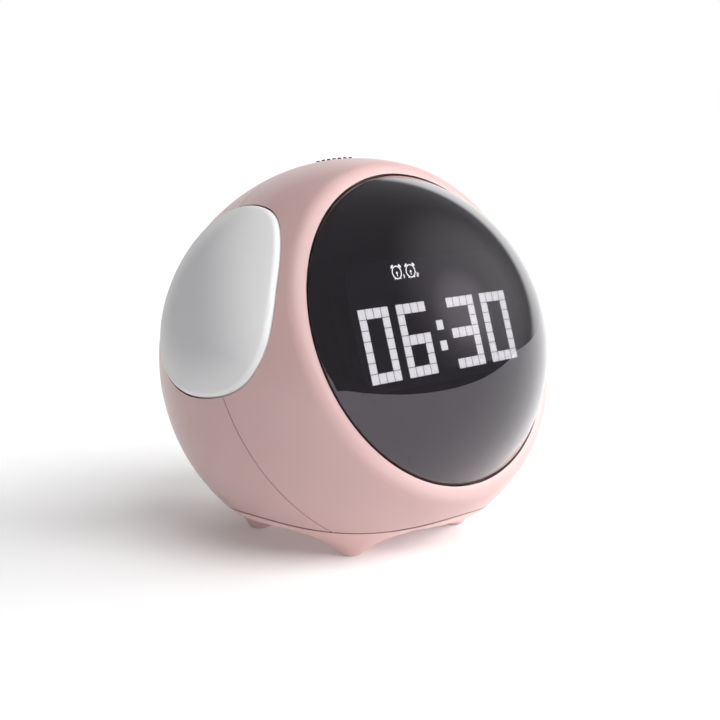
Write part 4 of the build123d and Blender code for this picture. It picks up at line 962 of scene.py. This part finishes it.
@dataclass
class Display(Assembly):
    """Smoked lens, light panel behind it, and the cells that are lit."""

    face_tilt: float = 22.0
    panel_tilt: float = 17.0
    panel_distance: float = 31.2 * MM
    dome_offset: float = 3.0 * MM
    digits_drop: float = 2.8 * MM
    cell_pitch: float = 2.6 * MM
    cell_width: float = 2.38 * MM
    cell_height: float = 2.45 * MM
    cell_corner: float = 0.08 * MM
    columns: int = 21
    rows: int = 7
    lift: float = 0.02 * MM
    thickness: float = 0.05 * MM
    icon_rise: float = 14.05 * MM
    icon_places: tuple[float, float] = (-11.25 * MM, -6.35 * MM)
    icon_radii: Point = (1.68 * MM, 1.42 * MM)
    figure_place: Point = (2.25 * MM, -1.1 * MM)
    lit_tone: Colour = tone(244, 247, 239)
    digits_strength: float = 7.6
    icons_strength: float = 11.0
    lens_tone: Colour = tone(98, 95, 102)
    lens_cast: Colour = tone(250, 226, 255)
    signs: tuple[tuple[int, str], ...] = ((0, "0"), (5, "6"), (10, ":"), (12, "3"), (17, "0"))

    def axis(self) -> Vector:
        """Direction that the display faces."""
        return toward(-90, self.face_tilt)

    def placement(self) -> Matrix:
        """Works out the frame of the light panel.

        Returns:
            The frame, with x to the right, y up the panel and z out of it.
        """
        panel = radians(self.panel_tilt)
        origin = BALL_CENTRE + self.axis() * self.panel_distance
        return frame_at(origin, Vector((1, 0, 0)), Vector((0, sin(panel), cos(panel))))

    def glyph(self, sign: str) -> list[str]:
        """Draws a sign of the clock's seven-row figures.

        Args:
            sign: a digit or the colon of the time that is shown.

        Returns:
            Its rows from the top, with # for a lit cell.
        """
        full, left, right, both = "####", "#   ", "   #", "#  #"
        return {
            "0": [full, both, both, both, both, both, full],
            "3": [full, right, right, full, right, right, full],
            "6": [full, left, left, full, both, both, full],
            ":": [" ", " ", "#", " ", "#", " ", " "],
        }[sign]

    def lit_cells(self) -> list[Point]:
        """Works out which cells are lit.

        Returns:
            Their middles, in the frame of the light panel.
        """
        places = []
        for start, sign in self.signs:
            for row, line in enumerate(self.glyph(sign)):
                for column, mark in enumerate(line):
                    if mark == "#":
                        x = (start + column - (self.columns - 1) / 2) * self.cell_pitch
                        y = ((self.rows - 1) / 2 - row) * self.cell_pitch - self.digits_drop
                        places.append((x, y))
        return places

    def add_cells(self, mesh: bmesh.types.BMesh) -> None:
        """Adds every lit cell.

        Args:
            mesh: what they are added to.
        """
        outline = rounded_outline(self.cell_width, self.cell_height, self.cell_corner)
        for place in self.lit_cells():
            add_plate(mesh, moved(outline, *place), self.lift, self.lift + self.thickness)

    def add_icons(self, mesh: bmesh.types.BMesh) -> None:
        """Adds two small bell clocks, numbered 1 and 2.

        Args:
            mesh: what they are added to.
        """
        low, high = self.lift, self.lift + self.thickness
        y = self.icon_rise
        aside, down = self.figure_place
        for x, figure in zip(self.icon_places, FIGURES):
            add_ring(mesh, (x, y), self.icon_radii, low, high)
            for mark in BELL_CLOCK:
                add_plate(mesh, mark.outline(x, y), low, high)
            for mark in figure:
                add_plate(mesh, mark.outline(x + aside, y + down), low, high)

    def build(self) -> None:
        """Builds the lit cells and icons on the film."""
        placement = self.placement()
        for name, build, strength in (
            ("time_digits", self.add_cells, self.digits_strength),
            ("alarm_icons", self.add_icons, self.icons_strength),
        ):
            piece = piece_from(name, build, placement)
            cells = LitCells(self.lit_tone, strength, self.cell_pitch, self.digits_drop)
            cover(piece, cells.material(name + "_light"))
            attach(piece, "root")

    def dress(self) -> None:
        """Gives the display its finishes."""
        centre = BALL_CENTRE + self.axis() * self.dome_offset
        lens = SmokedLens(self.lens_tone, self.lens_cast, self.axis(), centre)
        cover(*solids("display_lens"), lens.material("smoked_lens"))
        Finish.black.dress(*solids("display_frame", "light_grid", "display_screws"))
        Finish.film.dress(*solids("diffuser_film"))
        Finish.foam.dress(*solids("lens_gasket"))
        Finish.board.dress(*solids("led_board"))


class Side(Enum):
    """The two night lights, by the sign of their side."""

    left = -1
    right = 1


@dataclass
class NightLight(Assembly):
    """One press-in panel of the night light and what it works on."""

    side: Side
    turn: float = 6.0
    rise: float = 23.5
    # Shaded and lit whites between which the panel's painted light runs.
    painted_shade_tone: Colour = tone(203, 203, 206)
    painted_light_tone: Colour = tone(248, 247, 248)

    def axis(self) -> Vector:
        """Outward direction of the panel."""
        outward = toward(self.turn, self.rise)
        return Vector((self.side.value * outward.x, outward.y, outward.z))

    def dress(self) -> None:
        """Gives the night light its finishes."""
        name = self.side.name
        milky = MilkyPlastic(self.painted_shade_tone, self.painted_light_tone, self.axis())
        cover(*solids(name + "_ear"), milky.material(name + "_ear_milk"))
        Finish.white.dress(*solids(name + "_ear_seat", name + "_ear_leds"))
        Finish.lead.dress(*solids(name + "_ear_lead"))
        Finish.board.dress(*solids(name + "_ear_light_board"))
        Finish.chips.dress(*solids(name + "_ear_switch", name + "_ear_plunger"))
        Finish.steel.dress(*solids(name + "_ear_seat_screws", name + "_ear_guide_screws"))


@dataclass
class KeyRow(Assembly):
    """Four keys at the back, their switches and board."""

    names: tuple[str, ...] = ("alarm_key", "minus_key", "plus_key", "time_key")

    def dress(self) -> None:
        """Gives the keys their finishes."""
        Finish.key.dress(*solids(*self.names))
        Finish.chips.dress(*solids("key_switches", *(name + "_plunger" for name in self.names)))
        Finish.board.dress(*solids("key_board"))
        Finish.steel.dress(*solids("key_board_screws"))


@dataclass
class Power(Assembly):
    """Charging socket, battery and main board."""

    socket_drop: float = 11.0 * MM
    tongue_tip: float = 42.1 * MM
    tongue_height: float = 0.7 * MM
    contact_pitch: float = 0.5 * MM
    contact_width: float = 0.26 * MM
    contact_length: float = 3.2 * MM
    contact_corner: float = 0.05 * MM
    contact_inset: float = 0.3 * MM
    contact_count: int = 12
    contact_lift: float = 0.03 * MM

    def add_contacts(self, mesh: bmesh.types.BMesh) -> None:
        """Adds the contact strips on both faces of the tongue.

        Args:
            mesh: what they are added to.
        """
        outline = rounded_outline(self.contact_width, self.contact_length, self.contact_corner)
        half = self.tongue_height / 2
        middle = -self.contact_length / 2 - self.contact_inset
        for index in range(self.contact_count):
            x = (index - (self.contact_count - 1) / 2) * self.contact_pitch
            for face in (-1, 1):
                low, high = sorted((face * half, face * (half + self.contact_lift)))
                add_plate(mesh, moved(outline, x, middle), low, high)

    def build(self) -> None:
        """Builds the contacts of the charging socket."""
        mouth = BALL_CENTRE + Vector((0, self.tongue_tip, -self.socket_drop))
        placement = frame_at(mouth, Vector((1, 0, 0)), Vector((0, 1, 0)))
        contacts = piece_from("socket_contacts", self.add_contacts, placement)
        Finish.gold.dress(contacts)
        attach(contacts, "root")

    def dress(self) -> None:
        """Gives the charging parts and the boards their finishes."""
        Finish.steel.dress(*solids("usb_socket", "main_board_screws", "cradle_screws"))
        Finish.board.dress(*solids("main_board"))
        Finish.chips.dress(*solids("main_board_chips"))
        Finish.black.dress(*solids("battery_cradle"))
        Finish.wrap.dress(*solids("battery_cell"))
        Finish.lead.dress(*solids("battery_leads"))
        Finish.white.dress(*solids("display_ribbon", "key_ribbon"))


@dataclass
class Speaker(Assembly):
    """The speaker under the sound holes."""

    def dress(self) -> None:
        """Gives the speaker its finishes."""
        Finish.black.dress(*solids("speaker_frame", "speaker_bracket", "speaker_mesh"))
        Finish.paper.dress(*solids("speaker_cone"))
        Finish.foam.dress(*solids("speaker_gasket"))
        Finish.lead.dress(*solids("speaker_lead"))
        Finish.magnet.dress(*solids("speaker_magnet"))
        Finish.steel.dress(*solids("speaker_screws"))


# ---------------------------------- studio
@dataclass(frozen=True)
class Glow:
    """Glow of a soft lamp in the dark surroundings."""

    turn: float
    rise: float
    strength: float
    reach: float


@dataclass(frozen=True)
class Lamp:
    """Large soft lamp, far away."""

    name: str
    turn: float
    rise: float
    strength: float
    spread: float


@dataclass
class Studio:
    """Floor, lamps, surroundings and camera."""

    camera_arm: Vector = Vector((-276.6, -276.3, 68.9)) * MM
    camera_turn: tuple[float, float, float] = (79.86, 0.0, -45.14)
    camera_near: float = 0.01
    focal_length: float = 75.0
    floor_reach: float = 12.0
    floor_depth: float = 0.01
    floor_grey: float = 0.86
    floor_glow: float = 0.15
    lamps: tuple[Lamp, ...] = (
        Lamp("side_lamp", -25, 13, 2.95, 30),
        Lamp("key_lamp", -62, 28, 1.75, 45),
        Lamp("front_lamp", -95, 50, 1.6, 45),
        Lamp("back_lamp", 50, 45, 0.55, 45),
        Lamp("top_lamp", 180, 75, 0.4, 60),
    )
    screen_radius: float = 1.6
    screen_segments: tuple[int, int] = (64, 32)
    screen_dark: float = 0.14
    glows: tuple[Glow, ...] = (Glow(-64, 28, 0.52, 0.92), Glow(-50, 30, 0.51, 0.64))
    backdrop_side: Vector = Vector((0.110, 0.675, -0.730))
    backdrop_fade: tuple[float, float] = (-0.05, 0.08)
    backdrop_white: float = 0.85
    card_edge: tuple[Point, Point] = ((-2.2, 0.689), (2.2, -1.159))
    card_reach: float = 1.8
    card_lift: float = 0.3 * MM
    card_patch: float = 300 * MM
    card_drift: float = 0.2

    def build(self) -> None:
        """Builds the studio round the clock."""
        self.set_view()
        self.build_camera()
        self.build_floor()
        self.build_world()
        self.build_screen()
        self.build_card()
        self.build_lamps()

    def set_view(self) -> None:
        """Shows colours as they are written."""
        bpy.context.scene.view_settings.view_transform = "Standard"

    def build_camera(self) -> None:
        """Places the camera."""
        data = bpy.data.cameras.new("camera")
        data.lens = self.focal_length
        data.clip_start = self.camera_near
        camera = bpy.data.objects.new("camera", data)
        camera.location = BALL_CENTRE + self.camera_arm
        camera.rotation_euler = [radians(angle) for angle in self.camera_turn]
        bpy.context.scene.collection.objects.link(camera)
        bpy.context.scene.camera = camera

    def build_floor(self) -> None:
        """Lays a plain white floor that keeps the clock's shadow."""
        graph = Graph(bpy.data.materials.new("floor_white"))
        grey = solid([self.floor_grey] * 3)
        paint = graph.node("ShaderNodeBsdfDiffuse", inputs={"Color": grey})
        shine = {"Color": WHITE, "Strength": self.floor_glow}
        glow = graph.node("ShaderNodeEmission", inputs=shine)
        graph.show(graph.node("ShaderNodeAddShader", inputs={0: paint, 1: glow}))
        half = self.floor_reach / 2
        outline = [(-half, -half), (half, -half), (half, half), (-half, half)]
        floor = piece_from(
            "floor",
            lambda mesh: add_plate(mesh, outline, -self.floor_depth, 0.0),
            Matrix.Identity(4),
        )
        cover(floor, graph.owner)

    def seen_rays(self, graph: Graph) -> Signal:
        """Tells the rays that show a surface directly, in a gloss or through glass.

        Args:
            graph: where the nodes are added.

        Returns:
            1 for such a ray, 0 for any other.
        """
        seen = graph.node("ShaderNodeLightPath", output="Is Camera Ray")
        gloss = graph.node("ShaderNodeLightPath", output="Is Glossy Ray")
        glass = graph.node("ShaderNodeLightPath", output="Is Transmission Ray")
        return seen.at_least(gloss).at_least(glass)

    def build_world(self) -> None:
        """Surrounds the clock with white that is seen but gives no light."""
        world = bpy.data.worlds.new("surroundings")
        bpy.context.scene.world = world
        graph = Graph(world)
        shine = {"Color": WHITE, "Strength": self.seen_rays(graph)}
        shader = graph.node("ShaderNodeBackground", inputs=shine)
        graph.node("ShaderNodeOutputWorld", inputs={"Surface": shader})

    def stage_for_gloss(
        self, name: str, build: Callable[[bmesh.types.BMesh], None], shine: Signal
    ) -> None:
        """Puts up a piece of the surroundings that is seen only in gloss.

        Args:
            name: what it is called.
            build: adds its faces to a mesh.
            shine: how brightly it glows, in the graph of its material.
        """
        piece = piece_from(name, build, Matrix.Identity(4))
        graph = shine.graph
        graph.show(graph.node("ShaderNodeEmission", inputs={"Color": WHITE, "Strength": shine}))
        cover(piece, graph.owner)
        for ray in ("camera", "diffuse", "transmission", "volume_scatter", "shadow"):
            setattr(piece, "visible_" + ray, False)

    def add_screen(self, mesh: bmesh.types.BMesh) -> None:
        """Adds the upper half of a large ball.

        Args:
            mesh: what it is added to.
        """
        around, up = self.screen_segments
        bmesh.ops.create_uvsphere(
            mesh, u_segments=around, v_segments=up, radius=self.screen_radius
        )
        low = [vertex for vertex in mesh.verts if vertex.co.z < -MM]
        bmesh.ops.delete(mesh, geom=low, context="VERTS")

    def build_screen(self) -> None:
        """Hangs dark surroundings with the lamps' glow round the clock."""
        graph = Graph(bpy.data.materials.new("screen_grey"))
        place = graph.vector_math("NORMALIZE", graph.place())
        shine: Operand = self.screen_dark
        for glow in self.glows:
            nearness = graph.dot(place, toward(glow.turn, glow.rise))
            shine = nearness.ramp(glow.reach, 1.0, 0.0, glow.strength) + shine
        behind = graph.dot(place, self.backdrop_side)
        shine = behind.ramp(*self.backdrop_fade, 0.0, self.backdrop_white) + shine
        self.stage_for_gloss("screen", self.add_screen, shine)

    def build_card(self) -> None:
        """Lays a dark card on the floor beside the camera."""
        graph = Graph(bpy.data.materials.new("card_grey"))
        fade = graph.noise(graph.place(), self.card_patch, 1.0)
        (first_x, first_y), (last_x, last_y) = self.card_edge
        near_side = [(first_x, first_y - self.card_reach), (last_x, last_y - self.card_reach)]
        outline = [*near_side, (last_x, last_y), (first_x, first_y)]
        self.stage_for_gloss(
            "card",
            lambda mesh: add_plate(mesh, outline, self.card_lift / 2, self.card_lift),
            self.screen_dark * fade.about(1.0, self.card_drift),
        )

    def build_lamps(self) -> None:
        """Hangs the lamps, which leave no spot on the lens."""
        unlit = bpy.data.collections.new("unlit_by_lamps")
        unlit.objects.link(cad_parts["display_lens"])
        for lamp in self.lamps:
            data = bpy.data.lights.new(lamp.name, "SUN")
            data.energy = lamp.strength
            data.angle = radians(lamp.spread)
            hung = bpy.data.objects.new(lamp.name, data)
            hung.rotation_euler = toward(lamp.turn, lamp.rise).to_track_quat("Z", "Y").to_euler()
            bpy.context.scene.collection.objects.link(hung)
            hung.light_linking.receiver_collection = unlit
        unlit.collection_objects[0].light_linking.link_state = "EXCLUDE"


def main() -> None:
    """Builds the clock's looks and the studio in order."""
    logging.basicConfig(level=logging.INFO, format="%(name)s: %(message)s")
    lights = NightLight(Side.left), NightLight(Side.right)
    assemblies = (Housing(), Display(), *lights, KeyRow(), Power(), Speaker())
    for assembly in assemblies:
        log.info("%s", type(assembly).__name__)
        assembly.build()
        assembly.dress()
    Studio().build()


if __name__ == "__main__":
    main()
